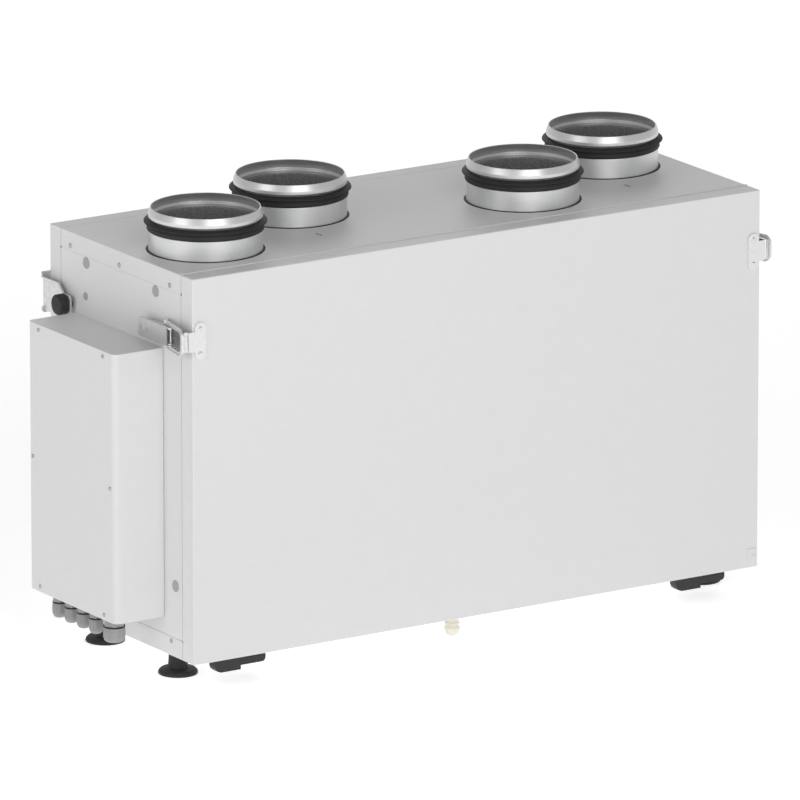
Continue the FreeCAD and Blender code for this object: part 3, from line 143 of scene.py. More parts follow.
def grey(level, warmth=0.0):
    return (level + warmth, level, level - warmth)


# ---------------------------------------------------------------- materials

def coated_sheet():
    """Light grey polyester coating: fine orange peel, a faint mottle, satin gloss."""
    look = Look("coated_sheet")
    grain = look.noise(1900, 4, 0.6)
    mottle = look.noise(60, 3, 0.6)
    both = look.maths("ADD", look.maths("MULTIPLY", grain, 0.7), look.maths("MULTIPLY", mottle, 0.3))
    look.colour(both, grey(0.72), grey(0.81))
    look.roughness(grain, 0.40, 0.54)
    look.bump(look.noise(1300, 2, 0.5), 0.00005, 0.5)
    look.plain({"Specular IOR Level": 0.4})
    return look.material


def turned_zinc():
    """Zinc-coated sheet spun to shape: fine level lines and a soft cloudy bloom."""
    look = Look("turned_zinc")
    lines = look.noise(1, 4, 0.7, look.stretched(9, 9, 2600))
    bloom = look.noise(26, 4, 0.55)
    look.colour(bloom, grey(0.66, -0.004), grey(0.84, -0.004))
    both = look.maths("ADD", look.maths("MULTIPLY", lines, 0.6), look.maths("MULTIPLY", bloom, 0.4))
    look.roughness(both, 0.26, 0.50)
    look.bump(lines, 0.00003, 0.35)
    look.plain({"Metallic": 0.8})
    return look.material


def galvanised():
    """Hot-dipped sheet: angular spangles that differ in tone and gloss."""
    look = Look("galvanised_sheet")
    spangle = look.cells(210, output="Color")
    tone = look.make("ShaderNodeSeparateColor")
    look.link(spangle, tone.inputs[0])
    grain = look.noise(900, 3)
    look.colour(tone.outputs[0], grey(0.68, -0.005), grey(0.78, -0.005))
    look.roughness(tone.outputs[1], 0.36, 0.46)
    look.bump(grain, 0.00003, 0.35)
    look.plain({"Metallic": 1.0})
    return look.material


def bright_steel(name="bright_steel", metallic=1.0):
    """Bright zinc plate: fine rolling lines along the case and small stains."""
    look = Look(name)
    lines = look.noise(1, 3, 0.6, look.stretched(1800, 60, 1800))
    stain = look.noise(160, 4, 0.6)
    look.colour(stain, grey(0.72, -0.003), grey(0.88, -0.003))
    look.roughness(look.maths("MULTIPLY", lines, stain), 0.18, 0.75)
    look.bump(lines, 0.00003, 0.3)
    look.plain({"Metallic": metallic})
    return look.material


def dull_steel(name="dull_steel", dark=0.40, light=0.56):
    """Passivated plate: darker than the bright parts, with rolling lines and dull patches."""
    look = Look(name)
    lines = look.noise(1, 3, 0.6, look.stretched(1500, 70, 1500))
    patch = look.noise(75, 4, 0.6)
    look.colour(patch, grey(dark, -0.003), grey(light, -0.003))
    look.roughness(look.maths("ADD", lines, patch), 0.20, 0.36)
    look.bump(lines, 0.00003, 0.4)
    look.plain({"Metallic": 1.0})
    return look.material


def rubber():
    """Matte EPDM: fine pores, a dusty bloom and a slightly worn tone."""
    look = Look("rubber")
    pores = look.noise(1900, 3, 0.6)
    dust = look.noise(60, 5, 0.65)
    look.colour(dust, grey(0.012), grey(0.026))
    look.roughness(pores, 0.48, 0.74)
    look.bump(pores, 0.00006, 0.5)
    look.plain({"Specular IOR Level": 0.45})
    return look.material


def black_plastic():
    """Moulded polyamide with a fine spark-eroded texture."""
    look = Look("black_plastic")
    texture = look.cells(2300, feature="SMOOTH_F1")
    tone = look.noise(90, 3)
    look.colour(tone, grey(0.014), grey(0.027))
    look.roughness(tone, 0.40, 0.58)
    look.bump(texture, 0.00005, 0.5)
    return look.material


def gland_plastic():
    """Grey polyamide with flow marks and a faint moulded grain."""
    look = Look("gland_plastic")
    flow = look.noise(1, 4, 0.6, look.stretched(120, 120, 30))
    grain = look.noise(2000, 2)
    look.colour(flow, grey(0.29, -0.003), grey(0.38, -0.003))
    look.roughness(flow, 0.32, 0.50)
    look.bump(grain, 0.00004, 0.4)
    return look.material


def plug_plastic():
    """Grey blanking plugs: a shade darker than the coating, with a fine moulded grain."""
    look = Look("plug_plastic")
    flow = look.noise(240, 4, 0.6)
    look.colour(flow, grey(0.34), grey(0.46))
    look.roughness(flow, 0.40, 0.58)
    look.bump(look.noise(1800, 2), 0.00003, 0.4)
    return look.material


def cream_plastic():
    """Off-white natural plastic, a little translucent."""
    look = Look("cream_plastic")
    flow = look.noise(1, 4, 0.6, look.stretched(150, 150, 40))
    look.colour(flow, (0.76, 0.72, 0.62), (0.86, 0.83, 0.74))
    look.roughness(flow, 0.34, 0.50)
    look.bump(look.noise(1500, 2), 0.00003, 0.4)
    look.plain({"Subsurface Weight": 0.15, "Subsurface Scale": 0.002})
    return look.material


def foam(name="foam", dark=0.045, light=0.115):
    """Closed-cell foam: packed beads with fine pores between them."""
    look = Look(name)
    beads = look.cells(330, feature="DISTANCE_TO_EDGE")
    pores = look.noise(1300, 3)
    look.colour(look.spread(beads, 0, 1, 0.0, 0.35), grey(dark), grey(light))
    look.roughness(pores, 0.72, 0.92)
    look.bump(look.maths("ADD", beads, look.maths("MULTIPLY", pores, 0.25)), 0.0005, 0.6)
    look.plain({"Specular IOR Level": 0.25})
    return look.material


def plate_pack():
    """Edges of thin stacked plates, one every few millimetres through the depth."""
    look = Look("plate_pack")
    tone = look.noise(1, 3, 0.6, look.stretched(14, 900, 14))
    look.colour(tone, grey(0.58, -0.006), grey(0.80, -0.006))
    look.roughness(tone, 0.28, 0.46)
    look.bump(look.noise(500, 3), 0.00008, 0.5)
    look.plain({"Metallic": 0.65})
    return look.material


def filter_cloth():
    """White non-woven cloth: tangled fibres at two sizes and a soft sheen."""
    look = Look("filter_cloth")
    fibres = look.noise(1, 5, 0.75, look.stretched(700, 260, 700))
    cloud = look.noise(45, 4)
    both = look.maths("ADD", look.maths("MULTIPLY", fibres, 0.6), look.maths("MULTIPLY", cloud, 0.4))
    look.colour(both, grey(0.66), grey(0.88))
    look.roughness(fibres, 0.80, 0.96)
    look.bump(fibres, 0.00025, 0.7)
    look.plain({"Sheen Weight": 0.25})
    return look.material


def fan_plastic():
    """Glass-filled black polyamide: short pale fibres just under the skin."""
    look = Look("fan_plastic")
    fibres = look.noise(1, 4, 0.7, look.stretched(260, 260, 1500))
    look.colour(look.spread(fibres, 0, 1, 0.45, 0.75), grey(0.030), grey(0.075))
    look.roughness(fibres, 0.36, 0.56)
    look.bump(fibres, 0.00004, 0.4)
    return look.material


def circuit_board():
    """Green lacquered board with a faint copper pattern under it."""
    look = Look("circuit_board")
    tracks = look.cells(110, feature="DISTANCE_TO_EDGE")
    look.colour(look.spread(tracks, 1, 0, 0.0, 0.12), (0.015, 0.10, 0.045), (0.04, 0.22, 0.10))
    look.roughness(look.noise(200, 3), 0.22, 0.42)
    look.bump(tracks, 0.0001, 0.4)
    return look.material


LOOKS = {
    "coated_sheet": coated_sheet(),
    "foam": foam(),
    "zinc_sheet": galvanised(),
    "bright_steel": bright_steel(),
    "rubber": rubber(),
    "black_plastic": black_plastic(),
    "gland_plastic": gland_plastic(),
    "cream_plastic": cream_plastic(),
    "plate_pack": plate_pack(),
    "filter_media": filter_cloth(),
    "fan_metal": fan_plastic(),
    "circuit_board": circuit_board(),
}
TURNED_ZINC = turned_zinc()
DULL_STEEL = dull_steel()
LEVER_STEEL = dull_steel("lever_steel", 0.58, 0.74)
# Darker than the dull steel: painted shade for the dark hollow inside each bail.
CLAW_PAINTED_SHADE = dull_steel("claw_painted_shade", 0.20, 0.34)
BAIL_ZINC = bright_steel("bail_zinc", 0.5)
# A dark sleeve inside each collar: painted shade for the collar's shaded inner wall.
SLEEVE_PAINTED_SHADE = foam("sleeve_painted_shade", 0.14, 0.28)
PLUG_PLASTIC = plug_plastic()

# CAD nodes that look different from the rest of their material slot
OWN_LOOKS = {
    "latch_lever_left": LEVER_STEEL,
    "latch_lever_right": LEVER_STEEL,
    "panel_screws": DULL_STEEL,
    "control_box_screws": DULL_STEEL,
    "panel_plugs": PLUG_PLASTIC,
}


# ---------------------------------------------------------------- mesh helpers

ENDS = (("left", False), ("right", True))  # an end of the case, and whether it is the mirrored one
OUTLINE_STEPS = 5
LONGEST_BEND = 0.48  # of the side that a rounded corner takes part of


def bend(start, corner, end, steps):
    """Points of a smooth curve that leaves start for the corner and comes from it into end."""
    points = []
    for step in range(steps + 1):
        share = step / steps
        points.append(start.lerp(corner, share).lerp(corner.lerp(end, share), share))
    return points


def rounded_outline(corners):
    """An outline of (across, up, radius) corners in millimetres, with its corners rounded."""
    points = []
    count = len(corners)
    for index, (across, up, radius) in enumerate(corners):
        here = Vector((across, up))
        before = Vector(corners[index - 1][:2]) - here
        after = Vector(corners[(index + 1) % count][:2]) - here
        if radius <= 0:
            points.append(here)
            continue
        turn = before.angle(after)
        longest = LONGEST_BEND * min(before.length, after.length)
        reach = min(radius / math.tan(turn / 2), longest)
        start = here + before.normalized() * reach
        end = here + after.normalized() * reach
        points.extend(bend(start, here, end, OUTLINE_STEPS))
    return points


def new_piece(name, made, spot, material, body, sharp=40):
    """Turn a bmesh into a shaded piece that rides on a body; its origin is the spot."""
    bmesh.ops.recalc_face_normals(made, faces=made.faces)
    mesh_data = bpy.data.meshes.new(name)
    made.to_mesh(mesh_data)
    made.free()
    piece = bpy.data.objects.new(name, mesh_data)
    scene.collection.objects.link(piece)
    piece.location = spot
    mesh_data.materials.append(material)
    for polygon in mesh_data.polygons:
        polygon.use_smooth = True
    mesh_data.set_sharp_from_angle(angle=math.radians(sharp))
    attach(piece, body)
    return piece


def lathe(name, corners, spot, material, body, segments=160):
    """Turn a closed outline about an upright axis through the spot; the piece's origin is the spot."""
    outline = rounded_outline(corners)
    made = bmesh.new()
    rings = []
    for index in range(segments):
        angle = 2 * math.pi * index / segments
        ring = [made.verts.new((
            point.x * MM * math.cos(angle), point.x * MM * math.sin(angle), point.y * MM,
        )) for point in outline]
        rings.append(ring)
    count = len(outline)
    for index in range(segments):
        ring = rings[index]
        after = rings[(index + 1) % segments]
        for low in range(count):
            high = (low + 1) % count
            made.faces.new((ring[low], after[low], after[high], ring[high]))
    return new_piece(name, made, spot, material, body)


def join(made, other):
    """Add another bmesh's faces to this one."""
    copies = {vert: made.verts.new(vert.co) for vert in other.verts}
    for face in other.faces:
        made.faces.new([copies[vert] for vert in face.verts])
    other.free()


def add_block(made, low, high, inset, turn=None):
    """A board with all its edges rounded, added to a bmesh; sizes in metres, turned by a matrix."""
    block = bmesh.new()
    bmesh.ops.create_cube(block, size=1.0)
    size = Vector(high) - Vector(low)
    centre = (Vector(high) + Vector(low)) / 2
    for vert in block.verts:
        vert.co = Vector((vert.co.x * size.x, vert.co.y * size.y, vert.co.z * size.z)) + centre
    bmesh.ops.bevel(block, geom=block.edges[:], offset=inset, segments=3, profile=0.6, affect="EDGES")
    if turn is not None:
        bmesh.ops.transform(block, matrix=turn, verts=block.verts[:])
    join(made, block)


def sweep(made, path, section, outward):
    """Carry a closed section along a path. Section points are (across the path, outward)."""
    rings = []
    for index, point in enumerate(path):
        before = path[max(index - 1, 0)]
        after = path[min(index + 1, len(path) - 1)]
        ahead = (after - before).normalized()
        across = ahead.cross(outward).normalized()
        rings.append([made.verts.new(point + across * a + outward * b) for a, b in section])
    join_rings(made, rings)


def join_rings(made, rings):
    """Skin a row of equal rings of points, and close both ends."""
    count = len(rings[0])
    for first, second in zip(rings, rings[1:]):
        for low in range(count):
            high = (low + 1) % count
            made.faces.new((first[low], first[high], second[high], second[low]))
    made.faces.new(rings[0])
    made.faces.new(list(reversed(rings[-1])))


def soften_edges(piece, width, angle):
    """Round a piece's sharp edges a little, so that they catch the light."""
    bevel = piece.modifiers.new("edge", "BEVEL")
    bevel.width = width
    bevel.segments = 2
    bevel.limit_method = "ANGLE"
    bevel.angle_limit = math.radians(angle)
    return bevel


# ---------------------------------------------------------------- CAD nodes that show

# Small folded or moulded nodes. The big sheets are left out: bevels draw dark lines on them.
CRISP_NODES = (
    "wall_bracket_left", "wall_bracket_right", "latch_base_left", "latch_base_right",
    "latch_lever_left", "latch_lever_right", "latch_keeper_left", "latch_keeper_right",
    "hinge_door_leaves", "hinge_case_leaves", "drain_pan", "fan_decks", "core_dividers",
    "core_end_caps", "bypass_actuator", "fan_stators", "control_board",
    "cable_gland_large", "cable_glands_small", "door_seal",
)
WELD_REACH = 0.01 * MM


def dress_cad_nodes():
    """Every CAD node takes its own look or its slot's, and small ones get soft edges."""
    slot_of = {row["node"]: row["material_slot"] for row in frame["record"]["subparts"]}
    for name, part in frame["nodes"].items():
        part.data.materials.clear()
        part.data.materials.append(OWN_LOOKS.get(name, LOOKS[slot_of[name]]))
        if name in CRISP_NODES:
            weld = part.modifiers.new("weld", "WELD")
            weld.merge_threshold = WELD_REACH
            bevel = soften_edges(part, 0.3 * MM, 40)
            bevel.harden_normals = True


# ---------------------------------------------------------------- places on the case

def origin_of_case():
    """The case's left end, door front and underside, which the sizes below are counted from."""
    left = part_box("side_panel_left")[0].x
    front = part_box("door_outer_sheet")[0].y
    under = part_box("bottom_panel")[0].z
    return Vector((left, front, under))


CASE_ORIGIN = origin_of_case()
CASE_LENGTH = 957.0


def at(x, y, z, right=False):
    """A place of the case in millimetres, or its mirror image at the right end, in metres."""
    if right:
        x = CASE_LENGTH - x
    return CASE_ORIGIN + Vector((x, y, z)) * MM


# ---------------------------------------------------------------- spigots

SPIGOT_NODES = ("spigot_supply_air", "spigot_extract_air", "spigot_outdoor_air", "spigot_exhaust_air")
SPIGOT_RADIUS = 81.0
SPIGOT_SHEET = 1.0
SEAL_GROOVE = 3.5
FLANGE_RADIUS = 93.5
FLANGE_TOP = -1.2
FLANGE_FOOT = -2.2
SPIGOT_TAIL = -20
PANEL_HOLE_RADIUS = 84.5
LIP_UPPER = 87.3
LIP_LOWER = 83.2
NECK_TOP = 29.0
SEAL_TOP = NECK_TOP + 18.7
LAND_TOP = SEAL_TOP + 5.0
RIM_TOP = LAND_TOP + 9.0


def case_top():
    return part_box("top_panel")[1].z


def spigot_centre(node):
    low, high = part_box(node)
    return Vector(((low.x + high.x) / 2, (low.y + high.y) / 2, case_top()))


def make_collars():
    """Spun collars with a rounded groove behind the seal and a drawn-in rim with a safe edge."""
    outer = SPIGOT_RADIUS
    inner = outer - SPIGOT_SHEET
    groove = outer - SEAL_GROOVE
    lining = groove - SPIGOT_SHEET
    for node in SPIGOT_NODES:
        spot = spigot_centre(node)
        collar = lathe(node.replace("spigot", "collar"), [
            (inner, SPIGOT_TAIL, 0.2), (outer, SPIGOT_TAIL, 0.2), (outer, FLANGE_FOOT, 0.4),
            (FLANGE_RADIUS, FLANGE_FOOT, 0.3), (FLANGE_RADIUS, FLANGE_TOP, 0.3),
            (outer, FLANGE_TOP, 0.5), (outer, NECK_TOP, 1.2), (groove, NECK_TOP + 2, 1.0),
            (groove, SEAL_TOP - 2, 1.0), (outer, SEAL_TOP, 1.8), (outer, LAND_TOP, 3.0),
            (outer - 3.0, RIM_TOP - 0.4, 0.4), (outer - 3.6, RIM_TOP, 0.4),
            (outer - 4.6, RIM_TOP - 0.6, 0.4), (inner - 0.2, LAND_TOP - 0.3, 2.0),
            (inner, SEAL_TOP + 0.5, 1.2), (lining, SEAL_TOP - 1.5, 1.0),
            (lining, NECK_TOP + 1.5, 1.0), (inner, NECK_TOP - 0.5, 1.2),
        ], spot, TURNED_ZINC, "case")
        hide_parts(node)


def make_seals():
    """Double-lip rubber seals: a thin upper lip that stands out and a deep lower one under it."""
    outer = SPIGOT_RADIUS
    seat = outer - SEAL_GROOVE + 0.05
    first = None
    for node in SPIGOT_NODES:
        spot = spigot_centre(node) + Vector((0, 0, NECK_TOP * MM))
        seal = lathe(node.replace("spigot", "seal"), [
            (seat, 2.6, 0.4), (LIP_LOWER - 2.4, 0.4, 0.6), (LIP_LOWER - 0.6, 0.8, 0.6),
            (LIP_LOWER, 2.2, 0.9), (LIP_LOWER - 0.4, 6.2, 1.2), (LIP_LOWER - 1.8, 8.8, 0.8),
            (outer + 0.5, 9.9, 0.5), (LIP_UPPER - 1.4, 10.4, 0.7), (LIP_UPPER, 11.7, 0.8),
            (LIP_UPPER - 0.4, 13.0, 0.8), (LIP_UPPER - 2.4, 14.0, 1.2), (outer + 0.8, 15.5, 1.0),
            (seat + 1.4, 16.2, 0.5), (seat, 15.8, 0.3),
        ], spot, LOOKS["rubber"], "case")
        first = first or seal
    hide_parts("spigot_seals")


def make_collar_extras():
    """A gasket in the gap round each neck, and a dark foam sleeve inside, under the groove's bead, as
    painted shade for the collar's shaded inner wall.
    """
    gasket_inner = SPIGOT_RADIUS + 0.05
    gasket_outer = PANEL_HOLE_RADIUS - 0.1
    gasket_foot = -1.1
    sleeve_outer = SPIGOT_RADIUS - 4.6
    sleeve_inner = sleeve_outer - 5
    sleeve_foot = -24
    sleeve_top = SEAL_TOP - 7
    for node in SPIGOT_NODES:
        spot = spigot_centre(node)
        lathe(node.replace("spigot", "neck_gasket"), [
            (gasket_inner, gasket_foot, 0.1), (gasket_outer, gasket_foot, 0.1),
            (gasket_outer, 0.1, 0.3), (SPIGOT_RADIUS + 1.6, 0.9, 0.8), (gasket_inner, 0.7, 0.3),
        ], spot, LOOKS["rubber"], "case")
        # This sleeve's dark foam is painted shade for the collar's inner wall.
        sleeve = lathe(node.replace("spigot", "painted_shade_sleeve"), [
            (sleeve_inner, sleeve_foot, 0.8), (sleeve_outer, sleeve_foot, 0.8),
            (sleeve_outer, sleeve_top, 0.8), (sleeve_outer - 3, sleeve_top + 2, 1.6),
            (sleeve_inner, sleeve_top, 1.0),
        ], spot, SLEEVE_PAINTED_SHADE, "case")


# ---------------------------------------------------------------- small parts on the case

GLAND_LINE = -60.0
BOX_FOOT = 53.5
SMALL_GLAND_DEPTHS = (165.0, 198.0, 231.0, 264.0)
LARGE_GLAND_DEPTH = 116.0
SMALL_GLAND_RADIUS = 10.4
LARGE_GLAND_RADIUS = 15.8
TOP_SLOTS = (285.6, 809.5)


def gland_places():
    """Each gland's name, its depth in the case and its radius."""
    places = [("large", LARGE_GLAND_DEPTH, LARGE_GLAND_RADIUS)]
    for number, depth in enumerate(SMALL_GLAND_DEPTHS, start=1):
        places.append(("small_%d" % number, depth, SMALL_GLAND_RADIUS))
    return places


def make_gland_rings_and_shade():
    """A dark rubber ring in the groove between each gland's hexagon and its dome nut: partly a sealing
    ring, partly painted shade for the shadow in the groove.
    """
    top = -12.5
    foot = -14.6
    for name, depth, radius in gland_places():
        spot = at(GLAND_LINE, depth, BOX_FOOT)
        inner = radius - 1.9
        outer = radius - 0.2
        # The black ring also stands as painted shade for the shadow in the groove.
        lathe("gland_ring_and_shade_" + name, [
            (inner, top, 0.2), (outer, top, 0.5), (outer, foot, 0.5), (inner, foot, 0.2),
        ], spot, LOOKS["rubber"], "case", segments=72)


def make_top_details():
    """The top panel's folded front lip, and two small slot covers in front of the rear collars."""
    made = bmesh.new()
    add_block(made, at(1.2, 30.7, 559.4), at(955.8, 33.2, 561.5), 0.3 * MM)
    new_piece("top_lip", made, (0, 0, 0), LOOKS["coated_sheet"], "case")
    made = bmesh.new()
    half = 1.6
    for x in TOP_SLOTS:
        add_block(made, at(x - half, 113.6, 559.6), at(x + half, 127.6, 560.8), 0.5 * MM)
    new_piece("slot_covers", made, (0, 0, 0), PLUG_PLASTIC, "case")


# ---------------------------------------------------------------- latches

LATCH_HEIGHT = 470.0
BAIL_PIVOT = (-5.0, 62.0)
BAIL_LENGTH = 66.2
BAIL_HALF = 20.2
BAIL_BAR = (-17.5, -3.0)
BAIL_BAR_HALF = 11.5
BAIL_TURN = 3.0  # where a turn of the bail starts, before and after its corner
BAIL_TURN_SHARE = 0.42  # of a side, which a turn doesn't pass
EYE_RADIUS = 3.3
EYE_WIDTH = 5.8
CLAW_OUT = (25, 34, 41, 48, 55, 59.5)  # along the bail from its pivot


def bail_ahead():
    """From the bail's pivot towards its bar, in the case's x and y."""
    return (Vector(BAIL_BAR) - Vector(BAIL_PIVOT)).normalized()


def bail_place(out, up, right):
    """A place on the bail's middle plane, so far out from its pivot and up from its middle."""
    place = Vector(BAIL_PIVOT) + bail_ahead() * out
    return at(place.x, place.y, LATCH_HEIGHT + up, right)


def bail_path(right):
    """The bail's middle line: out along one side, round the bar and back, in metres."""
    tail = -2
    side = BAIL_HALF - 3.1
    far = BAIL_LENGTH - 3.4
    slope = far - 7
    outline = [
        (tail, side), (slope, side), (far, BAIL_BAR_HALF), (far, -BAIL_BAR_HALF), (slope, -side),
        (tail, -side),
    ]
    corners = [Vector(corner) for corner in outline]
    points = [corners[0]]
    for before, here, after in zip(corners, corners[1:], corners[2:]):
        start = here.lerp(before, min(BAIL_TURN_SHARE, BAIL_TURN / (before - here).length))
        end = here.lerp(after, min(BAIL_TURN_SHARE, BAIL_TURN / (after - here).length))
        points.extend(bend(start, here, end, 6))
    points.append(corners[-1])
    return [bail_place(out, up, right) for out, up in points]


def bail_outward(right):
    """The way the bail's open face looks: away from the case, square to its sides."""
    ahead = bail_ahead()
    normal = Vector((-ahead.y, ahead.x))
    if normal.x > 0:
        normal = -normal
    return Vector((-normal.x if right else normal.x, normal.y, 0)).normalized()


def make_bails():
    """Pressed bails: a channel with raised edges, bent into a U, with an eye at each end."""
    half = 3.0 * MM
    low = -1.1 * MM
    edge = 1.9 * MM
    floor = 0.1 * MM
    wall = 1.0 * MM
    section = [
        (-half, low), (half, low), (half, edge), (half - wall, edge), (half - wall, floor),
        (wall - half, floor), (wall - half, edge), (-half, edge),
    ]
    for end, right in ENDS:
        made = bmesh.new()
        sweep(made, bail_path(right), section, bail_outward(right))
        for level in (-1, 1):
            eye_middle = at(*BAIL_PIVOT, LATCH_HEIGHT + level * (BAIL_HALF - 3), right)
            eye = bmesh.new()
            bmesh.ops.create_cone(
                eye, cap_ends=True, segments=40, radius1=EYE_RADIUS * MM, radius2=EYE_RADIUS * MM,
                depth=EYE_WIDTH * MM,
            )
            bmesh.ops.translate(eye, verts=eye.verts[:], vec=eye_middle)
            join(made, eye)
        bail = new_piece(
            "bail_" + end, made, (0, 0, 0), BAIL_ZINC, "bail_" + end, 30,
        )
        soften_edges(bail, 0.35 * MM, 35)
        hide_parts("latch_bail_" + end)


def make_claws_with_painted_shade():
    """The spring claw inside each bail: a dull plate with a raised rib, held by the bar, painted dark as
    shade for the hollow inside the bail.
    """
    half = 13 * MM
    back = -0.9 * MM
    face = -0.1 * MM
    rib_foot = 3.4 * MM
    rib_half = 2.4 * MM
    rib_face = 0.9 * MM
    section = [
        (-half, back), (half, back), (half, face), (rib_foot, face),
        (rib_half, rib_face), (-rib_half, rib_face), (-rib_foot, face), (-half, face),
    ]
    for end, right in ENDS:
        path = [bail_place(out, 0, right) for out in CLAW_OUT]
        made = bmesh.new()
        sweep(made, path, section, bail_outward(right))
        claw = new_piece(
            "bail_claw_with_painted_shade_" + end, made, (0, 0, 0), CLAW_PAINTED_SHADE, "bail_" + end, 30,
        )
        soften_edges(claw, 0.3 * MM, 30)


def make_rivets():
    """Domed rivet heads on the ends of each lever's pins."""
    centre = 0.01
    radius = 3.0
    for end, right in ENDS:
        for level in (-1, 1):
            spot = at(*BAIL_PIVOT, LATCH_HEIGHT + level * BAIL_HALF, right)
            tall = 1.4 * level
            name = "rivet_%s_%s" % (end, "high" if level > 0 else "low")
            lathe(name, [
                (centre, 0, 0), (radius, 0, 0.2), (radius, 0.35 * tall, 0.3),
                (1.9, 0.9 * tall, 0.5), (centre, tall, 0),
            ], spot, LOOKS["bright_steel"], "lever_" + end, segments=40)


# ---------------------------------------------------------------- inside: foam boards

LINING_LEFT = 2.6
LINING_RIGHT = 954.4
LINING_FRONT = 31.7
LINING_REAR = 352.5
LINING_FOOT = 1.3
LINING_TOP = 556.8
ROOM_LEFT = 32
ROOM_RIGHT = 925
ROOM_FLOOR = 46
ROOM_CEILING = 528.0
BOARD_RIM = 1.2 * MM


def make_foam_boards():
    """The lining's boards and the two panel fillings, cut from foam board with soft edges."""
    made = bmesh.new()
    for low, high in (
        ((LINING_LEFT, LINING_FRONT, LINING_FOOT), (LINING_RIGHT, LINING_REAR, ROOM_FLOOR)),
        ((LINING_LEFT, LINING_FRONT, ROOM_FLOOR), (ROOM_LEFT, LINING_REAR, ROOM_CEILING)),
        ((ROOM_RIGHT, LINING_FRONT, ROOM_FLOOR), (LINING_RIGHT, LINING_REAR, ROOM_CEILING)),
    ):
        add_block(made, at(*low), at(*high), BOARD_RIM)
    boards = new_piece("lining_boards", made, (0, 0, 0), LOOKS["foam"], "case", 60)
    ceiling = make_ceiling_board()
    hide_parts("case_lining")
    for name, body, front, rear in (
        ("door_filling", "door", 1.4, 25.7), ("rear_filling", "case", 353.6, 381.6),
    ):
        made = bmesh.new()
        add_block(made, at(1.4, front, 1.4), at(955.6, rear, 558.6), BOARD_RIM)
        filling = new_piece(name, made, (0, 0, 0), LOOKS["foam"], body, 60)
        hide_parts(name.replace("filling", "insulation"))


def make_ceiling_board():
    """The lining's ceiling, with a round way under each collar."""
    way = SPIGOT_RADIUS + 0.8
    steps = 72
    made = bmesh.new()
    outline = [
        (LINING_LEFT, LINING_FRONT), (LINING_RIGHT, LINING_FRONT), (LINING_RIGHT, LINING_REAR),
        (LINING_LEFT, LINING_REAR),
    ]
    levels = []
    for z in (ROOM_CEILING, LINING_TOP):
        loops = [[made.verts.new(at(x, y, z)) for x, y in outline]]
        for node in SPIGOT_NODES:
            centre = spigot_centre(node)
            ring = []
            for step in range(steps):
                angle = 2 * math.pi * step / steps
                across = Vector((math.cos(angle), math.sin(angle), 0)) * way * MM
                ring.append(made.verts.new(Vector((centre.x, centre.y, at(0, 0, z).z)) + across))
            loops.append(ring)
        edges = []
        for loop in loops:
            edges.extend(made.edges.new((a, b)) for a, b in zip(loop, loop[1:] + loop[:1]))
        bmesh.ops.triangle_fill(made, use_beauty=True, use_dissolve=False, edges=edges)
        levels.append(loops)
    for low, high in zip(*levels):
        count = len(low)
        for index in range(count):
            after = (index + 1) % count
            made.faces.new((low[index], low[after], high[after], high[index]))
    return new_piece("lining_ceiling", made, (0, 0, 0), LOOKS["foam"], "case", 40)


# ---------------------------------------------------------------- inside: exchanger

CORE_TIP = 228.5
CORE_FOOT = 132.0
CORE_RISE = 150.0
CORE_MIDDLE = CORE_FOOT + CORE_RISE
CAP_FRONT = 38.0
CORE_FRONT = 42.0
CORE_REAR = 284.0
PLATE_PITCH = 3.6
PLATE_THICK = 1.5
CHANNEL_SHRINK = 9.0


def core_corners(shrink):
    """The exchanger's six-sided outline in the case's x and z, drawn in by a small amount."""
    left = CORE_TIP + shrink
    right = CASE_LENGTH - left
    low = CORE_FOOT + shrink
    high = CORE_FOOT + 2 * CORE_RISE - shrink
    rise = CORE_RISE - shrink
    return [
        (left, CORE_MIDDLE), (left + rise, low), (right - rise, low), (right, CORE_MIDDLE),
        (right - rise, high), (left + rise, high),
    ]


def add_prism(made, corners, front, rear):
    """A flat plate with the given outline in x and z, between two depths of the case."""
    first = [made.verts.new(at(x, front, z)) for x, z in corners]
    second = [made.verts.new(at(x, rear, z)) for x, z in corners]
    made.faces.new(first)
    made.faces.new(list(reversed(second)))
    count = len(corners)
    for index in range(count):
        after = (index + 1) % count
        made.faces.new((first[index], second[index], second[after], first[after]))


def make_core():
    """Stacked exchanger plates with open slots between them, over a dark inner block."""
    made = bmesh.new()
    number = int((CORE_REAR - CORE_FRONT) / PLATE_PITCH)
    for index in range(number):
        front = CORE_FRONT + 0.3 + index * PLATE_PITCH
        add_prism(made, core_corners(0.0), front, front + PLATE_THICK)
    plates = new_piece("core_plates", made, (0, 0, 0), LOOKS["plate_pack"], "case", 30)
    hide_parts("exchanger_core")
    made = bmesh.new()
    add_prism(made, core_corners(CHANNEL_SHRINK), CORE_FRONT + 0.1, CORE_REAR - 0.1)
    new_piece("core_channels", made, (0, 0, 0), LOOKS["foam"], "case", 30)


def make_cap_ribs():
    """Stiffening ribs and a grip on the front cap of the exchanger core."""
    made = bmesh.new()
    front = CAP_FRONT - 2.4
    rear = CAP_FRONT + 0.4
    rib_half = 2
    rim = 0.8 * MM
    middle = CASE_LENGTH / 2
    for across in (-150, -100, 100, 150):
        half = 105 - max(0, abs(across) - 100) * 0.8
        low = at(middle + across - rib_half, front, CORE_MIDDLE - half)
        high = at(middle + across + rib_half, rear, CORE_MIDDLE + half)
        add_block(made, low, high, rim)
    for level in (-92, 92):
        low = at(middle - 100, front, CORE_MIDDLE + level - rib_half)
        high = at(middle + 100, rear, CORE_MIDDLE + level + rib_half)
        add_block(made, low, high, rim)
    new_piece("core_cap_ribs", made, (0, 0, 0), LOOKS["black_plastic"], "case")


# ---------------------------------------------------------------- inside: filters

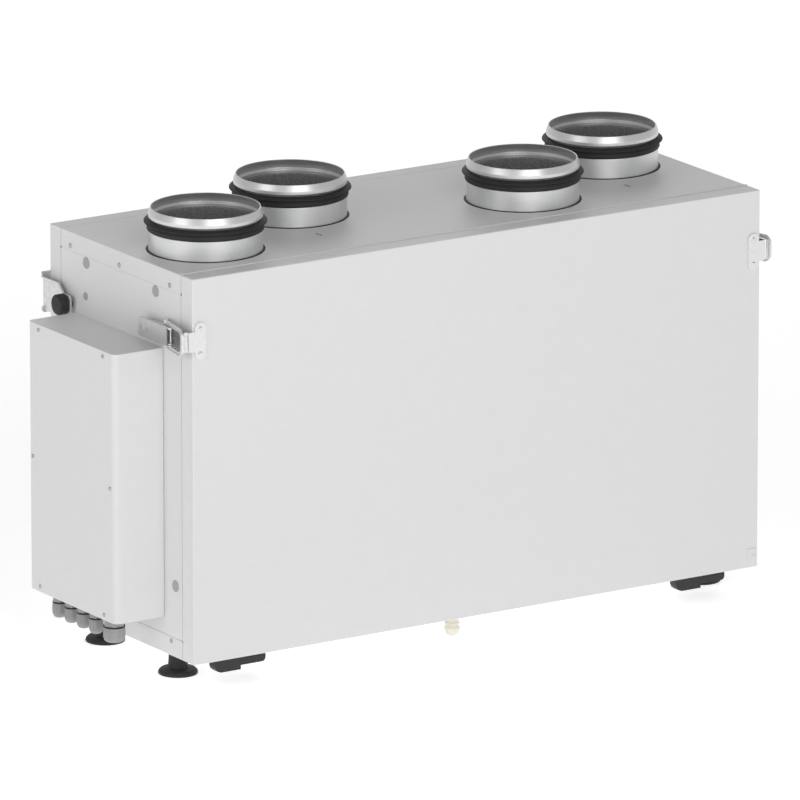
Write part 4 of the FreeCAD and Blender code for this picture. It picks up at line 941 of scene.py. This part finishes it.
FILTER_LONG = 198.0
FILTER_THICK = 25.0
FILTER_DEPTH = 250.0
FILTER_CARD = 8.0
FILTER_CLIMB = 9.0
FILTER_LIFT = 5.0 * math.sqrt(0.5)
FILTER_SPOT = (CORE_TIP + FILTER_CLIMB - FILTER_LIFT, CAP_FRONT, CORE_MIDDLE + FILTER_CLIMB + FILTER_LIFT)
TAB_HALF = 18
PLEATS = 19
PLEAT_STEPS = 10
PLEAT_RISE = 9.5
PLEAT_CRISPNESS = 0.75
CLOTH_ROWS = 12
CLOTH_THICK = 0.9 * MM


def filter_turn(right):
    """From a filter's own sizes, in metres, to its slanted place over the core."""
    slant = Matrix.Rotation(math.radians(-45), 4, "Y")
    here = Matrix.Translation(at(*FILTER_SPOT)) @ slant
    if not right:
        return here
    middle = at(CASE_LENGTH / 2, 0, 0).x
    flip = Matrix.Translation((2 * middle, 0, 0)) @ Matrix.Scale(-1, 4, (1, 0, 0))
    return flip @ here


def make_filters():
    """Pleated cloth in a card frame with a pull tab, one slanted over each upper face of the core."""
    for end, right in ENDS:
        turn = filter_turn(right)
        make_filter_frame(end, turn)
        make_filter_cloth(end, turn)


def make_filter_frame(end, turn):
    card = bmesh.new()
    long = FILTER_LONG
    deep = FILTER_DEPTH
    thick = FILTER_THICK
    wide = FILTER_CARD
    for low, high in (
        ((0, 0, 0), (long, wide, thick)),
        ((0, deep - wide, 0), (long, deep, thick)),
        ((0, wide, 0), (wide, deep - wide, thick)),
        ((long - wide, wide, 0), (long, deep - wide, thick)),
        ((long / 2 - TAB_HALF, -6, 11), (long / 2 + TAB_HALF, 1, 14)),
    ):
        add_block(card, Vector(low) * MM, Vector(high) * MM, 0.7 * MM, turn)
    frame_piece = new_piece(
        "filter_frame_" + end, card, (0, 0, 0), LOOKS["filter_media"], "case",
    )
    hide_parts("filter_" + end)


def make_filter_cloth(end, turn):
    """Pleats across the frame, a little uneven along their length."""
    made = bmesh.new()
    lines = []
    total = PLEATS * PLEAT_STEPS
    for index in range(total + 1):
        wave = math.sin(2 * math.pi * index / PLEAT_STEPS)
        height = FILTER_THICK / 2 + PLEAT_RISE * math.copysign(abs(wave) ** PLEAT_CRISPNESS, wave)
        along = FILTER_CARD + (FILTER_LONG - 2 * FILTER_CARD) * index / total
        row = []
        for step in range(CLOTH_ROWS + 1):
            depth = FILTER_CARD + (FILTER_DEPTH - 2 * FILTER_CARD) * step / CLOTH_ROWS
            sag = 0.5 * math.sin(index * 0.9 + step * 1.7)
            row.append(made.verts.new(turn @ (Vector((along, depth, height + sag)) * MM)))
        lines.append(row)
    for first, second in zip(lines, lines[1:]):
        for low in range(CLOTH_ROWS):
            made.faces.new((first[low], first[low + 1], second[low + 1], second[low]))
    cloth = new_piece(
        "filter_cloth_" + end, made, (0, 0, 0), LOOKS["filter_media"], "case", 80,
    )
    solid = cloth.modifiers.new("thickness", "SOLIDIFY")
    solid.thickness = CLOTH_THICK
    solid.offset = 0


# ---------------------------------------------------------------- inside: fans

FAN_SPOT = (118.0, 192.0)
FAN_FOOT = 262.0
FAN_TOP = 320.0
FAN_RADIUS = 78.0
BACK_PLATE = 1.8
HUB_FOOT = 292
ROTOR_RADIUS = 44
ROTOR_TOP = 346
SHAFT_RADIUS = 4.1
EYE_EDGE = 53
BLADES = 11
BLADE_STEPS = 14
BLADE_START = 47
BLADE_REACH = 29.5
BLADE_SWEEP = math.radians(44)
BLADE_HALF_THICK = 0.9


def add_blade(made, spot, angle, sense):
    """One blade that curves back from the eye to the rim, between the shroud and the back plate."""
    high = FAN_TOP - 1.6
    sections = []
    for step in range(BLADE_STEPS + 1):
        share = step / BLADE_STEPS
        radius = BLADE_START + BLADE_REACH * share
        turn = angle - sense * BLADE_SWEEP * share ** 1.15
        low = FAN_FOOT + 2.2 + 6.5 * max(0.0, share - 0.3)
        half_thick = BLADE_HALF_THICK * (1.0 - 0.55 * share)
        across = Vector((-math.sin(turn), math.cos(turn), 0)) * half_thick * MM
        centre = Vector((math.cos(turn), math.sin(turn), 0)) * radius * MM
        corners = []
        for side, height in ((-1, low), (1, low), (1, high), (-1, high)):
            corners.append(made.verts.new(spot + centre + across * side + Vector((0, 0, height * MM))))
        sections.append(corners)
    join_rings(made, sections)


def make_fans():
    """Radial impellers: a back plate with its rotor hub, a flared shroud and curved blades."""
    radius = FAN_RADIUS
    plate_foot = FAN_TOP - BACK_PLATE
    look = LOOKS["fan_metal"]
    for (end, right), sense in zip(ENDS, (1, -1)):
        spot = at(*FAN_SPOT, 0, right)
        body = "impeller_" + end
        hub = lathe("fan_hub_" + end, [
            (SHAFT_RADIUS, HUB_FOOT, 0.2), (20, HUB_FOOT, 3), (34, plate_foot, 6),
            (radius, plate_foot, 0.6), (radius, FAN_TOP, 0.6), (ROTOR_RADIUS, FAN_TOP, 1.5),
            (ROTOR_RADIUS, 330, 1.0), (ROTOR_RADIUS - 1.2, 331, 1.0),
            (ROTOR_RADIUS - 1.2, ROTOR_TOP, 3.0), (SHAFT_RADIUS, ROTOR_TOP, 0.4),
        ], spot, look, body)
        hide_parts("fan_impeller_" + end)
        lathe("fan_shroud_" + end, [
            (EYE_EDGE, 261.5, 0.4), (54.6, 261.5, 0.5), (58, 265.4, 5), (radius, 270, 0.5),
            (radius, 271.6, 0.5), (57, 266.8, 5), (EYE_EDGE, 263, 0.4),
        ], spot, look, body)
        made = bmesh.new()
        for index in range(BLADES):
            add_blade(made, spot, 2 * math.pi * index / BLADES, sense)
        new_piece("fan_blades_" + end, made, (0, 0, 0), look, body, 50)


# ---------------------------------------------------------------- stage, light and camera

# Azimuth 0 stands in front of the door.
SOFTBOXES = (
    # name, azimuth, elevation, distance, size, power
    ("key", -14, 24, 4.5, 2.4, 49),
    ("side", -82, 20, 4.5, 2.0, 24),
    ("rear", 150, 32, 4.5, 2.4, 26),
)
SOFTBOX_AIM = Vector((0, 0, 0.3))
SKY_STOPS = ((0.0, 0.92), (0.25, 0.56), (0.75, 0.34))  # height in the sky, and its grey
CAMERA_AIM = (0.0104, -0.0116, 0.3183)
CAMERA_AZIMUTH = -32.718
CAMERA_ELEVATION = 14.964
CAMERA_DISTANCE = 18.703
CAMERA_LENS = 589.0
CAMERA_SENSOR = 36
CAMERA_FAR = 200


def make_floor():
    mesh_data = bpy.data.meshes.new("floor")
    half = 60.0
    corners = [(-half, -half, 0), (half, -half, 0), (half, half, 0), (-half, half, 0)]
    mesh_data.from_pydata(corners, [], [(0, 1, 2, 3)])
    floor = bpy.data.objects.new("floor", mesh_data)
    scene.collection.objects.link(floor)
    look = Look("floor")
    look.colour(look.noise(0.8, 2), grey(0.90), grey(0.92))
    look.plain({"Roughness": 0.9, "Specular IOR Level": 0.0, "Emission Strength": 0.53})
    look.surface.inputs["Emission Color"].default_value = (1, 1, 1, 1)
    mesh_data.materials.append(look.material)


def make_world():
    """A pale studio, brighter at eye height than overhead."""
    world = bpy.data.worlds.new("studio")
    scene.world = world
    world.use_nodes = True
    tree = world.node_tree
    background = tree.nodes["Background"]
    background.inputs["Strength"].default_value = 0.78
    direction = tree.nodes.new("ShaderNodeTexCoord")
    split = tree.nodes.new("ShaderNodeSeparateXYZ")
    tree.links.new(direction.outputs["Generated"], split.inputs[0])
    ramp = tree.nodes.new("ShaderNodeValToRGB")
    tree.links.new(split.outputs["Z"], ramp.inputs[0])
    elements = ramp.color_ramp.elements
    elements.new(0.5)
    for element, (position, level) in zip(elements, SKY_STOPS):
        element.position = position
        element.color = (*grey(level), 1)
    tree.links.new(ramp.outputs[0], background.inputs["Color"])


def view_direction(azimuth, elevation):
    """From the object towards a place round it."""
    a = math.radians(azimuth)
    e = math.radians(elevation)
    return Vector((math.sin(a) * math.cos(e), -math.cos(a) * math.cos(e), math.sin(e)))


def stand_round(item, aim, azimuth, elevation, distance):
    """Put a lamp or camera at a distance from the aim, looking at it."""
    back = view_direction(azimuth, elevation)
    item.location = Vector(aim) + back * distance
    item.rotation_mode = "QUATERNION"
    item.rotation_quaternion = (-back).to_track_quat("-Z", "Y")


def make_softboxes():
    """Square soft lights round the object."""
    for name, azimuth, elevation, distance, size, power in SOFTBOXES:
        data = bpy.data.lights.new(name, "AREA")
        data.shape = "SQUARE"
        data.size = size
        data.energy = power
        lamp = bpy.data.objects.new(name, data)
        scene.collection.objects.link(lamp)
        stand_round(lamp, SOFTBOX_AIM, azimuth, elevation, distance)


def make_camera():
    data = bpy.data.cameras.new("camera")
    data.sensor_width = CAMERA_SENSOR
    data.lens = CAMERA_LENS
    data.clip_end = CAMERA_FAR
    camera = bpy.data.objects.new("camera", data)
    scene.collection.objects.link(camera)
    stand_round(camera, CAMERA_AIM, CAMERA_AZIMUTH, CAMERA_ELEVATION, CAMERA_DISTANCE)
    scene.camera = camera


# ---------------------------------------------------------------- build

dress_cad_nodes()
make_collars()
make_seals()
make_collar_extras()
make_gland_rings_and_shade()
make_top_details()
make_bails()
make_claws_with_painted_shade()
make_rivets()
make_foam_boards()
make_core()
make_filters()
make_fans()
make_cap_ribs()
make_floor()
make_world()
make_softboxes()
make_camera()
scene.view_settings.view_transform = "Standard"
